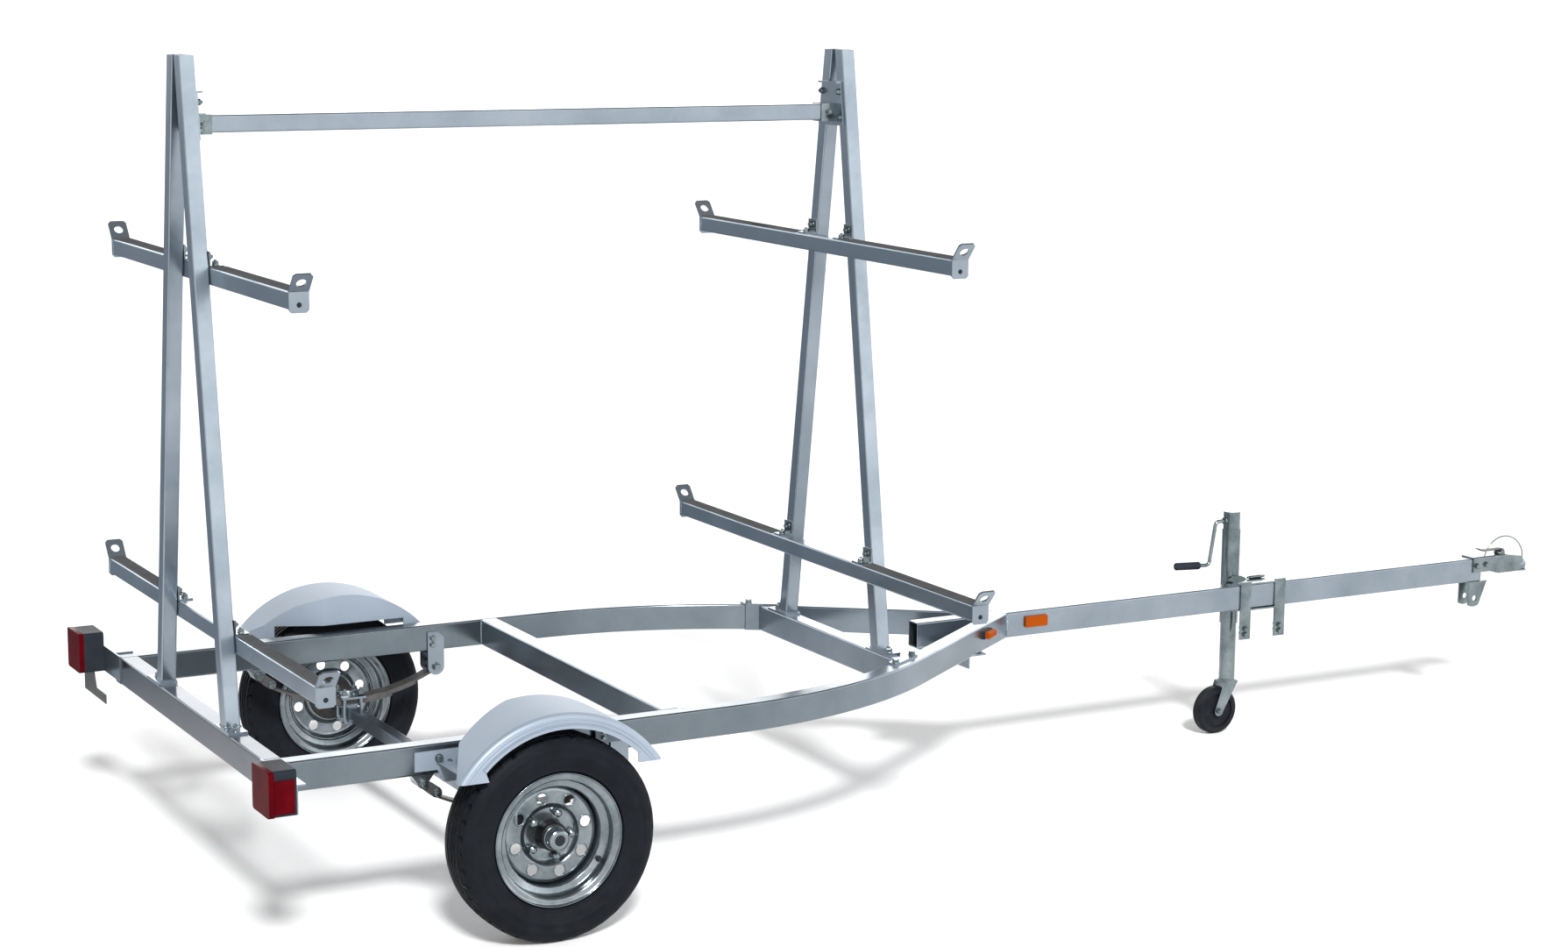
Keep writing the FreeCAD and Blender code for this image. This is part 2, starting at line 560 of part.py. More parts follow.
# ------------------------------------------------------------------ arms
# name, leg face it lies against, side of that face (+1 forward), half length, top
ARMS = (
    ("upper_rear", REAR_ARM_FACE, 1, UPPER_ARM_HALF, UPPER_ARM_TOP),
    ("upper_front", FRONT_ARM_FACE, -1, UPPER_ARM_HALF, UPPER_ARM_TOP),
    ("lower_rear", REAR_ARM_FACE, 1, LOWER_ARM_HALF, LOWER_REAR_ARM_TOP),
    ("lower_front", FRONT_ARM_FACE, -1, LOWER_ARM_HALF, LOWER_FRONT_ARM_TOP),
)


def lashing_eye(x, end_y, top):
    """Plate over an arm's end, with a leaning tab and a round eye in it."""
    lean = math.radians(EYE_LEAN)
    bottom = top - ARM_SIZE - EYE_DROP
    tip = (end_y + EYE_RISE * math.tan(lean), top + EYE_RISE)
    # the sheet lies to the right of this line, away from the arm
    points = [tip, (end_y, top), (end_y, bottom)]
    plate = bent_plate("YZ", points, PLATE, x - EYE_WIDTH / 2, x + EYE_WIDTH / 2)
    corners = []
    for edge in plate.Edges:
        at = edge.CenterOfMass
        on_side = abs(edge.Length - PLATE) < 1e-6 and abs(abs(at.x - x) - EYE_WIDTH / 2) < 1e-6
        if on_side and (abs(at.z - bottom) < 1e-6 or at.z > top + EYE_RISE / 2):
            corners.append(edge)
    plate = plate.makeChamfer(7.0, corners)
    out = Vector(0, math.cos(lean), -math.sin(lean))
    up_tab = EYE_RISE / math.cos(lean) * 0.52
    centre = Vector(x, end_y, top) + Vector(0, math.sin(lean), math.cos(lean)) * up_tab
    eye = Part.makeCylinder(EYE_HOLE / 2, 4 * PLATE, centre - out * (1.5 * PLATE), out)
    return plate.cut(eye)


def arm_clip(face_x, outward, top):
    """Angle between an arm's top and a leg's face."""
    points = [(face_x + outward * CLIP_LEG, top), (face_x, top), (face_x, top + CLIP_LEG)]
    y = leg_y(top + CLIP_LEG / 2)
    thickness = -CLIP * outward
    return bent_plate("XZ", points, thickness, y - CLIP_WIDTH / 2, y + CLIP_WIDTH / 2)


def make_arms():
    section = tube_section(ARM_SIZE, ARM_SIZE, ARM_WALL, ARM_CORNER)
    clips = []
    eyes = {"upper": [], "lower": []}
    for name, face, outward, half, top in ARMS:
        x = face + outward * ARM_SIZE / 2
        keep("arm_" + name, tube_y(section, (-half, half), x, top - ARM_SIZE / 2))
        eye = lashing_eye(x, half, top)
        eyes[name.split("_")[0]] += [eye, mirrored(eye)]
        clip = arm_clip(face, outward, top)
        clips += [clip, mirrored(clip)]
    keep("arm_clips", *clips)
    for level, pieces in eyes.items():
        keep("lashing_eyes_" + level, *pieces)


# ------------------------------------------------------------------ axle and springs
def make_axle():
    beam = tube_section(BEAM_SIZE, BEAM_SIZE, BEAM_WALL, RAIL_CORNER)
    parts = [tube_y(beam, (-BEAM_HALF_LENGTH, BEAM_HALF_LENGTH), 0, BEAM_Z)]
    seat_half = SPRING_WIDTH / 2
    for side in (1, -1):
        inner = side * (BEAM_HALF_LENGTH - 60)
        shoulder = side * (BEAM_HALF_LENGTH + 4)
        end = side * (WHEEL_Y + SPINDLE_END)
        parts.append(cylinder(SPINDLE_RADIUS, (0, inner, WHEEL_RADIUS), (0, end, WHEEL_RADIUS)))
        room = BEAM_SIZE / 2 - BEAM_WALL
        plug = sorted((inner, side * BEAM_HALF_LENGTH))
        parts.append(box((-room, room), plug, (BEAM_Z - room, BEAM_Z + room)))
        parts.append(cylinder(18.0, (0, side * BEAM_HALF_LENGTH, WHEEL_RADIUS), (0, shoulder, WHEEL_RADIUS)))
        y = side * RAIL_MIDDLE_Y
        parts.append(box((-36, 36), (y - seat_half, y + seat_half), (BEAM_Z + BEAM_SIZE / 2, SPRING_BOTTOM)))
    keep("axle", fuse(parts))


def arc_band(centre, radius, thickness, first, last):
    """A strip of a ring on the XZ plane between two angles."""
    middle = (first + last) / 2
    near = radius - thickness
    return [on_circle(radius, first, centre),
            (on_circle(radius, middle, centre), on_circle(radius, last, centre)),
            on_circle(near, last, centre),
            (on_circle(near, middle, centre), on_circle(near, first, centre))]


def leaf_spring():
    """Three stacked leaves curving up to an eye at each end."""
    top_leaf_under = SPRING_BOTTOM + 2 * LEAF
    half_span = (FRONT_EYE[0] - REAR_EYE[0]) / 2
    middle_x = (FRONT_EYE[0] + REAR_EYE[0]) / 2
    rise = FRONT_EYE[1] - SPRING_EYE_RADIUS - top_leaf_under
    radius = (half_span ** 2 + rise ** 2) / (2 * rise)
    centre = (middle_x, top_leaf_under + radius)
    spread = math.degrees(math.asin(half_span / radius))
    y = (RAIL_MIDDLE_Y - SPRING_WIDTH / 2, RAIL_MIDDLE_Y + SPRING_WIDTH / 2)
    parts = []
    for i, share in enumerate(LEAF_SHARES):
        steps = arc_band(centre, radius + i * LEAF, LEAF, -90 - spread * share, -90 + spread * share)
        parts.append(slab("XZ", steps, y[0], y[1]))
    for x, z in (FRONT_EYE, REAR_EYE):
        parts.append(cylinder(SPRING_EYE_RADIUS, (x, y[0], z), (x, y[1], z)))
    spring = fuse(parts)
    for x, z in (FRONT_EYE, REAR_EYE):
        spring = spring.cut(cylinder(SPRING_BOLT_RADIUS + SLIP, (x, y[0] - 1, z), (x, y[1] + 1, z)))
    return spring


def front_hanger():
    """Channel under the rail whose sides run up its faces and down to the spring's front eye."""
    x, z = FRONT_EYE
    half = 25.0
    rail_reach = 56.0
    web = box((x - half, x + half), (RAIL_INNER_Y, RAIL_OUTER_Y), (FRAME_BOTTOM - HANGER_PLATE, FRAME_BOTTOM))
    parts = [web]
    for y in (RAIL_INNER_Y - HANGER_PLATE, RAIL_OUTER_Y):
        steps = [(x - half, FRAME_BOTTOM + rail_reach), (x - half, z), ((x, z - half), (x + half, z)),
                 (x + half, FRAME_BOTTOM + rail_reach - 18), (x + half - 18, FRAME_BOTTOM + rail_reach)]
        parts.append(slab("XZ", steps, y, y + HANGER_PLATE))
    parts.append(cylinder(SPRING_BOLT_RADIUS, (x, RAIL_INNER_Y, z), (x, RAIL_OUTER_Y, z)))
    return fuse(parts)


def rear_hanger():
    """Lug under the rail for the shackle's upper bolt."""
    x, z = SHACKLE_TOP
    half = SPRING_WIDTH / 2
    steps = [(x - 30, FRAME_BOTTOM), (x - 14, z), ((x, z - 14), (x + 14, z)), (x + 30, FRAME_BOTTOM)]
    lug = slab("XZ", steps, RAIL_MIDDLE_Y - half, RAIL_MIDDLE_Y + half)
    return lug.cut(cylinder(SPRING_BOLT_RADIUS + SLIP, (x, 0, z), (x, RAIL_OUTER_Y, z)))


def shackle():
    """Two links joined by the bolts through the lug and the spring's rear eye."""
    half = SPRING_WIDTH / 2 + 0.5
    radius = 13.0
    along = (REAR_EYE[0] - SHACKLE_TOP[0], REAR_EYE[1] - SHACKLE_TOP[1])
    aim = math.degrees(math.atan2(along[1], along[0]))
    steps = [on_circle(radius, aim + 90, SHACKLE_TOP),
             (on_circle(radius, aim + 180, SHACKLE_TOP), on_circle(radius, aim - 90, SHACKLE_TOP)),
             on_circle(radius, aim - 90, REAR_EYE),
             (on_circle(radius, aim, REAR_EYE), on_circle(radius, aim + 90, REAR_EYE))]
    inner = RAIL_MIDDLE_Y - half
    outer = RAIL_MIDDLE_Y + half
    parts = [slab("XZ", steps, inner - HANGER_PLATE, inner), slab("XZ", steps, outer, outer + HANGER_PLATE)]
    for x, z in (SHACKLE_TOP, REAR_EYE):
        parts.append(cylinder(SPRING_BOLT_RADIUS, (x, inner, z), (x, outer, z)))
    return fuse(parts)


def axle_clamp():
    """Tie plate on the spring with two U-bolts round the axle beam."""
    top = SPRING_BOTTOM + 3 * LEAF
    side = BEAM_SIZE / 2 + U_BOLT_RADIUS + 0.5
    under = BEAM_Z - BEAM_SIZE / 2 - U_BOLT_RADIUS
    off = SPRING_WIDTH / 2 + U_BOLT_RADIUS + 1.0
    reach_x = side + U_BOLT_RADIUS + TIE_EDGE
    reach_y = off + U_BOLT_RADIUS + TIE_EDGE
    plate = (RAIL_MIDDLE_Y - reach_y, RAIL_MIDDLE_Y + reach_y)
    parts = [box((-reach_x, reach_x), plate, (top, top + HANGER_PLATE))]
    for y in (RAIL_MIDDLE_Y - off, RAIL_MIDDLE_Y + off):
        corner = side + U_BOLT_RADIUS
        parts.append(cylinder(U_BOLT_RADIUS, (-corner, y, under), (corner, y, under)))
        for x in (-side, side):
            parts.append(cylinder(U_BOLT_RADIUS, (x, y, under), (x, y, top + HANGER_PLATE)))
    return fuse(parts).cut(leaf_spring())


def make_springs():
    both_sides("leaf_spring", leaf_spring())
    front = front_hanger()
    rear = rear_hanger()
    keep("spring_hangers", front, mirrored(front), rear, mirrored(rear))
    link = shackle()
    keep("spring_shackles", link, mirrored(link))
    clamp = axle_clamp()
    keep("axle_clamps", clamp, mirrored(clamp))


# ------------------------------------------------------------------ wheels
def wheel_profile(steps):
    """A drawing of (outward from the wheel's middle plane, radius) set on the left wheel's axis."""
    def at(point):
        if isinstance(point[0], tuple):
            return tuple(at(p) for p in point)
        return (WHEEL_Y + point[0], WHEEL_RADIUS + point[1])
    return outline("YZ", [at(step) for step in steps])


def about_axle(profile):
    return turned(profile, (0, 0, WHEEL_RADIUS), (0, 1, 0))


def tyre():
    """Bias-ply tyre on the rim's seats. The rim closes its inside, which is left solid."""
    half = TYRE_WIDTH / 2
    bead = RIM_WIDTH / 2 - RIM_SHEET - 0.1
    seat = RIM_SEAT_RADIUS + 0.1
    lip = RIM_FLANGE_RADIUS + 1.0
    steps = [(bead, seat), (bead, lip), (half, lip + TYRE_SHOULDER / 2),
             (half, WHEEL_RADIUS - TYRE_SHOULDER), (TREAD_HALF, WHEEL_RADIUS)]
    other_side = [(-a, b) for a, b in reversed(steps)]
    return about_axle(wheel_profile(steps + other_side))


def rim():
    """Rolled drop-centre rim with a pressed disc, its vents and lug holes."""
    half = RIM_WIDTH / 2
    seat = RIM_SEAT_RADIUS
    t = RIM_SHEET
    well = RIM_WELL_RADIUS
    well_back = -RIM_WELL_HALF
    well_front = RIM_WELL_HALF
    line = [(-half, RIM_FLANGE_RADIUS), (-half + t, RIM_FLANGE_RADIUS), (-half + t, seat),
            (well_back, seat), (well_back, well), (well_front, well), (well_front, seat),
            (half - t, seat), (half - t, RIM_FLANGE_RADIUS), (half, RIM_FLANGE_RADIUS)]
    under = [(half, seat - t), (well_front + t, seat - t), (well_front + t, well - t),
             (well_back - t, well - t), (well_back - t, seat - t), (-half, seat - t)]
    barrel = about_axle(wheel_profile(line + under))
    raised = DISC_FACE + DISC_DISH
    disc_line = [(raised, well - t), (raised, DISC_CREASE_RADIUS + DISC_DISH),
                 (DISC_FACE, DISC_CREASE_RADIUS), (DISC_FACE, DISC_BORE_RADIUS)]
    disc = about_axle(wheel_profile(disc_line + list(reversed(offset_line(disc_line, DISC_SHEET)))))
    centre = (0.0, WHEEL_RADIUS)
    across = (WHEEL_Y - half, WHEEL_Y + half)
    holes = ring_of_holes(VENT_COUNT, VENT_CIRCLE_RADIUS, VENT_PHASE, VENT_RADIUS, centre, across)
    holes += ring_of_holes(LUG_COUNT, LUG_CIRCLE_RADIUS, LUG_PHASE, LUG_HOLE_RADIUS, centre, across)
    return barrel.fuse(disc.cut(Part.makeCompound(holes))).removeSplitter()


def hub():
    """Flanged hub on the spindle, closed by a grease cap."""
    inner_end = BEAM_HALF_LENGTH + 5 - WHEEL_Y
    bore = SPINDLE_RADIUS + BEARING_GAP
    steps = [(inner_end, bore), (inner_end, HUB_RADIUS), (DISC_FACE - HUB_FLANGE, HUB_RADIUS),
             (DISC_FACE - HUB_FLANGE, HUB_FLANGE_RADIUS), (DISC_FACE, HUB_FLANGE_RADIUS),
             (DISC_FACE, DISC_BORE_RADIUS - 0.5), (HUB_NOSE, DISC_BORE_RADIUS - 0.5),
             (HUB_NOSE, GREASE_CAP_RADIUS), (GREASE_CAP_END, GREASE_CAP_RADIUS), (GREASE_CAP_END, 0.0),
             (SPINDLE_END + 4.0, 0.0), (SPINDLE_END + 4.0, bore)]
    return about_axle(wheel_profile(steps))


def make_wheels():
    both_sides("tyre", tyre())
    both_sides("wheel_rim", rim())
    both_sides("wheel_hub", hub())


# ------------------------------------------------------------------ fenders
def fender_path(inset):
    """Side view of the fender's outside: one arc from the front foot over the top to the rear foot."""
    centre = (0.0, WHEEL_RADIUS)
    radius = FENDER_RADIUS - inset
    first = math.degrees(math.asin((FENDER_FOOT_Z - WHEEL_RADIUS) / radius))
    return [on_circle(radius, first, centre),
            (on_circle(radius, 90, centre), on_circle(radius, 180 - first, centre))]


def fender_plan(inset):
    """Plan of the fender, its inner rear corner cut away, as a block from the foot up."""
    near = FENDER_INNER_Y
    far = FENDER_OUTER_Y
    cut = offset_line([(BIG, near)] + [(x, near + y) for x, y in FENDER_CUT], -inset)
    steps = [(FENDER_RADIUS, far - inset), (FENDER_RADIUS, near + inset)]
    steps += cut[1:] + [(cut[-1][0], far - inset)]
    return slab("XY", steps, FENDER_FOOT_Z - 1.0, FENDER_FOOT_Z + FENDER_RADIUS)


def fender():
    """Pressed fender: rounded skin, outer side with the wheel opening, inner wall with a long cut-out."""
    y = (FENDER_INNER_Y, FENDER_OUTER_Y)
    sheet = FENDER_SHEET
    body = slab("XZ", fender_path(0.0), y[0], y[1])
    body = body.makeFillet(FENDER_EDGE, long_edges(body, y[1])).common(fender_plan(0.0))
    hollow = slab("XZ", fender_path(sheet), y[0] + sheet, y[1] - sheet)
    hollow = hollow.makeChamfer(FENDER_EDGE / 2, long_edges(hollow, y[1] - sheet))
    hollow = hollow.common(fender_plan(sheet))
    under = box((-BIG, BIG), (y[0] + sheet, y[1] - sheet), (0, FENDER_FOOT_Z)).common(fender_plan(sheet))
    shell = body.cut(hollow).cut(under)
    centre = (0.0, WHEEL_RADIUS)
    opening = FENDER_OPENING_RADIUS
    rear_foot, front_foot = FENDER_OPENING_FEET
    steps = [(front_foot, 0.0), (front_foot, FENDER_FOOT_Z), on_circle(opening, 45, centre),
             (on_circle(opening, 90, centre), on_circle(opening, 135, centre)), (rear_foot, FENDER_FOOT_Z),
             (rear_foot, 0.0)]
    shell = shell.cut(slab("XZ", steps, y[1] - 20, y[1] + 1))
    wall = (y[0] - 1, y[0] + FENDER_CUT[1][1])
    shell = shell.cut(box(FENDER_WINDOW, wall, (0, FRAME_TOP + WINDOW_RISE)))
    width, stand_out = FENDER_LIP
    lip = slab("XZ", arc_band(centre, opening + width, width, 45, 135), y[1] - sheet, y[1] + stand_out)
    return shell.fuse(lip).removeSplitter()


def long_edges(shape, level):
    """The curved edge of a fender's skin at that Y level."""
    edges = [e for e in shape.Edges if e.CenterOfMass.z > FENDER_FOOT_Z + 20]
    return [e for e in edges if abs(e.CenterOfMass.y - level) < 1e-6]


def fender_brackets():
    """Stays from the rail's outer face out to the fender's inner wall, the rear one on a plate of its own."""
    wall = FENDER_INNER_Y - PLATE
    rail_face = RAIL_OUTER_Y + PLATE
    shelf_z = (FENDER_FOOT_Z, FENDER_FOOT_Z + PLATE)
    x = FRONT_BRACKET
    front = fuse([box(x, (wall, FENDER_INNER_Y), (FENDER_FOOT_Z, BRACKET_TOP)),
                  box(x, (RAIL_OUTER_Y, rail_face), (FRAME_BOTTOM, shelf_z[1])),
                  box(x, (RAIL_OUTER_Y, FENDER_INNER_Y), shelf_z)])
    rear, fore = REAR_PLATE
    low_width, high_width, drop = PLATE_TAB
    low = FRAME_BOTTOM - drop
    step = FRAME_BOTTOM + drop / 2
    steps = [(rear, step), (rear, BRACKET_TOP), (fore, BRACKET_TOP), (fore, low),
             (fore - low_width, low), (fore - high_width, step)]
    plate = slab("XZ", steps, RAIL_OUTER_Y, rail_face)
    stay = box(REAR_BRACKET, (RAIL_OUTER_Y, FENDER_OUTER_Y), shelf_z).cut(fender_plan(0.0))
    return [front, fuse([plate, stay])]


def make_fenders():
    both_sides("fender", fender())
    left = fender_brackets()
    keep("fender_brackets", *left, *[mirrored(p) for p in left])


# ------------------------------------------------------------------ lamps and reflectors
def edges_along_x(shape, x):
    """The edges of a box that run the whole way between those X values."""
    return [e for e in shape.Edges if abs(e.CenterOfMass.x - (x[0] + x[1]) / 2) < 1e-6]


def lamp_housing():
    x = (LAMP_REAR_X + LAMP_LENS, LAMP_FRONT_X)
    shape = box(x, (LAMP_INNER_Y, LAMP_OUTER_Y - LAMP_WRAP), (LAMP_BOTTOM, LAMP_TOP))
    return shape.makeFillet(LAMP_CORNER, edges_along_x(shape, x))


def lamp_lens():
    """Red cover: the whole rear face, turning round onto the outer side."""
    x = (LAMP_REAR_X, LAMP_REAR_X + LAMP_LENS)
    rear = box(x, (LAMP_INNER_Y, LAMP_OUTER_Y), (LAMP_BOTTOM, LAMP_TOP))
    rear = rear.makeFillet(LAMP_CORNER, edges_along_x(rear, x))
    side = box((x[1], LAMP_FRONT_X - 6), (LAMP_OUTER_Y - LAMP_WRAP, LAMP_OUTER_Y),
               (LAMP_BOTTOM + LAMP_CORNER, LAMP_TOP - 22))
    return rear.fuse(side).removeSplitter()


def lamp_bracket():
    """Plate across the rail's end, out behind the lamp, with a flange along the rail and a top lip."""
    t = LAMP_BRACKET
    z = (FRAME_BOTTOM + 8, FRAME_TOP + t)
    back = box((RAIL_REAR_X - t, RAIL_REAR_X), (RAIL_INNER_Y, LAMP_OUTER_Y - 8), z)
    flange = box((RAIL_REAR_X, RAIL_REAR_X + 50), (RAIL_OUTER_Y, RAIL_OUTER_Y + t), z)
    lip = box((RAIL_REAR_X, RAIL_REAR_X + 20), (RAIL_OUTER_Y, LAMP_OUTER_Y - 8), (FRAME_TOP, FRAME_TOP + t))
    return fuse([back, flange, lip])


def plate_strip():
    """Strip that hangs under the left lamp for a licence plate."""
    outer = LAMP_OUTER_Y - 4.0
    inner = outer - STRIP_LENGTH
    bottom = LAMP_BOTTOM - STRIP_DROP
    top = bottom + STRIP_HEIGHT
    x = LAMP_FRONT_X - 26.0
    steps = [(outer, LAMP_BOTTOM), (outer, bottom), (inner, bottom), (inner, top), (LAMP_INNER_Y, top),
             (LAMP_INNER_Y + 20, LAMP_BOTTOM)]
    return slab("YZ", steps, x, x + 3.0)


def side_reflector():
    z = (FRAME_MIDDLE + REFLECTOR_Z[0], FRAME_MIDDLE + REFLECTOR_Z[1])
    thickness = 7.0
    shape = box(REFLECTOR_X, (TONGUE_SIDE_Y, TONGUE_SIDE_Y + thickness), z)
    edges = [e for e in shape.Edges if abs(e.CenterOfMass.y - TONGUE_SIDE_Y - thickness / 2) < 1e-6]
    return shape.makeFillet(4.0, edges)


def marker_lamp():
    """Small lamp on the slanted front run of a rail: base and lens, drawn along the rail and then turned."""
    angle = math.radians(BEND_ANGLE)
    spot = Vector(BEND_END_X + MARKER_ALONG * math.cos(angle), BEND_END_Y - MARKER_ALONG * math.sin(angle),
                  FRAME_MIDDLE + MARKER_RISE)
    length, base_y, height = MARKER_BASE
    base = box((-length / 2, length / 2), (0, base_y), (-height / 2, height / 2))
    length, depth, height = MARKER_LENS
    front_y = base_y + depth
    lens = box((-length / 2, length / 2), (base_y, front_y), (-height / 2, height / 2))
    lens = lens.makeFillet(6.0, [e for e in lens.Edges if abs(e.CenterOfMass.y - front_y) < 1e-6])
    for piece in (base, lens):
        piece.rotate(Vector(0, 0, 0), Vector(0, 0, 1), -BEND_ANGLE)
        piece.translate(spot)
    return base, lens


def make_lamps():
    both_sides("tail_lamp", lamp_housing())
    both_sides("tail_lens", lamp_lens())
    both_sides("lamp_bracket", lamp_bracket())
    keep("plate_strip", plate_strip())
    reflector = side_reflector()
    keep("side_reflectors", reflector, mirrored(reflector))
    base, lens = marker_lamp()
    keep("marker_bases", base, mirrored(base))
    keep("marker_lenses", lens, mirrored(lens))


# ------------------------------------------------------------------ coupler
def coupler_body():
    """Pressed channel over the tongue's end that closes into the hollow ball socket."""
    t = COUPLER_PLATE
    half = TONGUE_SIDE_Y + t
    top = FRAME_TOP + t
    ball_x = COUPLER_TIP_X - BALL_RADIUS - BALL_ROOM - t
    skirt = BALL_Z - COUPLER_SKIRT
    side = [(COUPLER_REAR_X, top), (COUPLER_REAR_X, FRAME_MIDDLE - 8),
            (TONGUE_FRONT_X + 34, FRAME_MIDDLE - 8), (TONGUE_FRONT_X + 70, skirt),
            (ball_x, skirt), (ball_x, top - 12), (TONGUE_FRONT_X + 96, top)]
    outside = slab("XZ", side, -half, half)
    dome_radius = BALL_RADIUS + BALL_ROOM + t
    plan = [(COUPLER_REAR_X, half), (TONGUE_FRONT_X + 50, half), (ball_x, dome_radius - 2),
            (ball_x, -dome_radius + 2), (TONGUE_FRONT_X + 50, -half), (COUPLER_REAR_X, -half)]
    outside = outside.common(slab("XY", plan, 0, BIG))
    top_edges = [e for e in outside.Edges if abs(e.CenterOfMass.z - top) < 1e-6]
    top_edges = [e for e in top_edges if abs(e.CenterOfMass.y) > half / 2 and e.Length > 60]
    outside = outside.makeFillet(5.0, top_edges)
    dome = Part.makeSphere(dome_radius, Vector(ball_x, 0, BALL_Z))
    dome = dome.common(box((0, 2 * BIG), (-BIG, BIG), (skirt, BIG)))
    rim_ring = cylinder(dome_radius + 2.5, (ball_x, 0, skirt), (ball_x, 0, skirt + 4))
    rim_ring = rim_ring.common(box((0, COUPLER_TIP_X), (-BIG, BIG), (0, BIG)))
    shell = outside.fuse([dome, rim_ring])
    room = cylinder(BALL_RADIUS + BALL_ROOM, (ball_x, 0, 0), (ball_x, 0, BALL_Z))
    room = room.fuse(Part.makeSphere(BALL_RADIUS + BALL_ROOM, Vector(ball_x, 0, BALL_Z)))
    side = TONGUE_SIDE_Y
    sleeve = box((COUPLER_REAR_X - 1, TONGUE_FRONT_X + 0.5), (-side, side), (0, FRAME_TOP))
    inside = box((TONGUE_FRONT_X, ball_x - dome_radius), (-side + 2, side - 2), (0, FRAME_TOP - 14))
    return shell.cut(room).cut(sleeve).cut(inside).removeSplitter()


def latch_ears():
    """Two ears on the coupler that hold the latch lever's pin."""
    x, z = LATCH_PIVOT
    top = FRAME_TOP + COUPLER_PLATE
    parts = []
    for y in LATCH_EARS:
        steps = [(x - 11, top - 8), (x - 7, z), ((x, z + 7), (x + 7, z)), (x + 11, top - 22)]
        parts.append(slab("XZ", steps, y, y + EAR_SHEET))
    parts.append(cylinder(LATCH_PIN_RADIUS, (x, LATCH_EARS[0], z), (x, LATCH_EARS[1] + EAR_SHEET, z)))
    return parts


def latch():
    """Lever that lies back over the coupler, on its pin."""
    x, z = LATCH_PIVOT
    line = [(x - 96, z + 12), (x - 78, z + 4), (x + 8, z + 4)]
    lever = bent_plate("XZ", line, 3.0, -11.0, 11.0)
    boss = cylinder(7.5, (x, -11.0, z), (x, 11.0, z))
    body = lever.fuse(boss)
    return body.cut(cylinder(LATCH_PIN_RADIUS + BEARING_GAP, (x, -12, z), (x, 12, z))).removeSplitter()


def chain_bracket():
    """Plate bent down under the tongue for the safety chains."""
    x0 = COUPLER_REAR_X - 12
    low = FRAME_BOTTOM - CHAIN_CHEEK
    steps = [(x0, FRAME_BOTTOM), (x0, low), ((x0 + 22, low - 6), (x0 + 44, low)), (x0 + 76, FRAME_BOTTOM)]
    shapes = []
    for y in (-TONGUE_SIDE_Y, TONGUE_SIDE_Y - PLATE):
        shapes.append(slab("XZ", steps, y, y + PLATE))
    web = box((x0, x0 + 76), (-TONGUE_SIDE_Y, TONGUE_SIDE_Y), (FRAME_BOTTOM - PLATE, FRAME_BOTTOM))
    shape = fuse(shapes + [web])
    hole_z = FRAME_BOTTOM - CHAIN_HOLE_DROP
    return shape.cut(cylinder(CHAIN_HOLE_RADIUS, (x0 + 26, -BIG, hole_z), (x0 + 26, BIG, hole_z)))


def make_coupler():
    keep("coupler_body", fuse([coupler_body()] + latch_ears()))
    keep("coupler_latch", latch())
    keep("chain_bracket", chain_bracket())


# ------------------------------------------------------------------ jack
def jack_clamp():
    """Ring of plate round the tongue: far plate, two near straps, ties above and below, pivot stub."""
    inner = TONGUE_SIDE_Y
    t = PLATE
    top = FRAME_TOP + t
    bottom = FRAME_BOTTOM - t
    x = (CLAMP_REAR_X, CLAMP_FRONT_X)
    parts = [box(x, (inner, inner + t), (bottom, top)),
             box(x, (-inner - t, inner + t), (FRAME_TOP, top)),
             box(x, (-inner - t, inner + t), (bottom, FRAME_BOTTOM))]
    for start in (CLAMP_REAR_X, CLAMP_FRONT_X - STRAP_WIDTH):
        parts.append(box((start, start + STRAP_WIDTH), (-inner - t, -inner), (STRAP_BOTTOM, top + 6)))
    stub_end = inner + t + SLIP + INDEX_DISC - 1.5
    parts.append(cylinder(PIVOT_RADIUS, (JACK_X, inner, FRAME_MIDDLE), (JACK_X, stub_end, FRAME_MIDDLE)))
    return fuse(parts)


def jack_plunger():
    """Spring plunger that locks the swivel, drawn back from the disc's rim."""
    z = FRAME_TOP + PLATE + PLUNGER_RADIUS
    y = TONGUE_SIDE_Y + PLATE - PLUNGER_INSET
    pin = PLUNGER_PIN_RADIUS
    rim = math.sqrt(INDEX_DISC_RADIUS ** 2 - (z - pin - FRAME_MIDDLE) ** 2)
    tip = JACK_X + rim + PLUNGER_DRAWN
    body = cylinder(PLUNGER_RADIUS, (tip + 8, y, z), (tip + 54, y, z))
    return body.fuse(cylinder(pin, (tip, y, z), (tip + 66, y, z)))


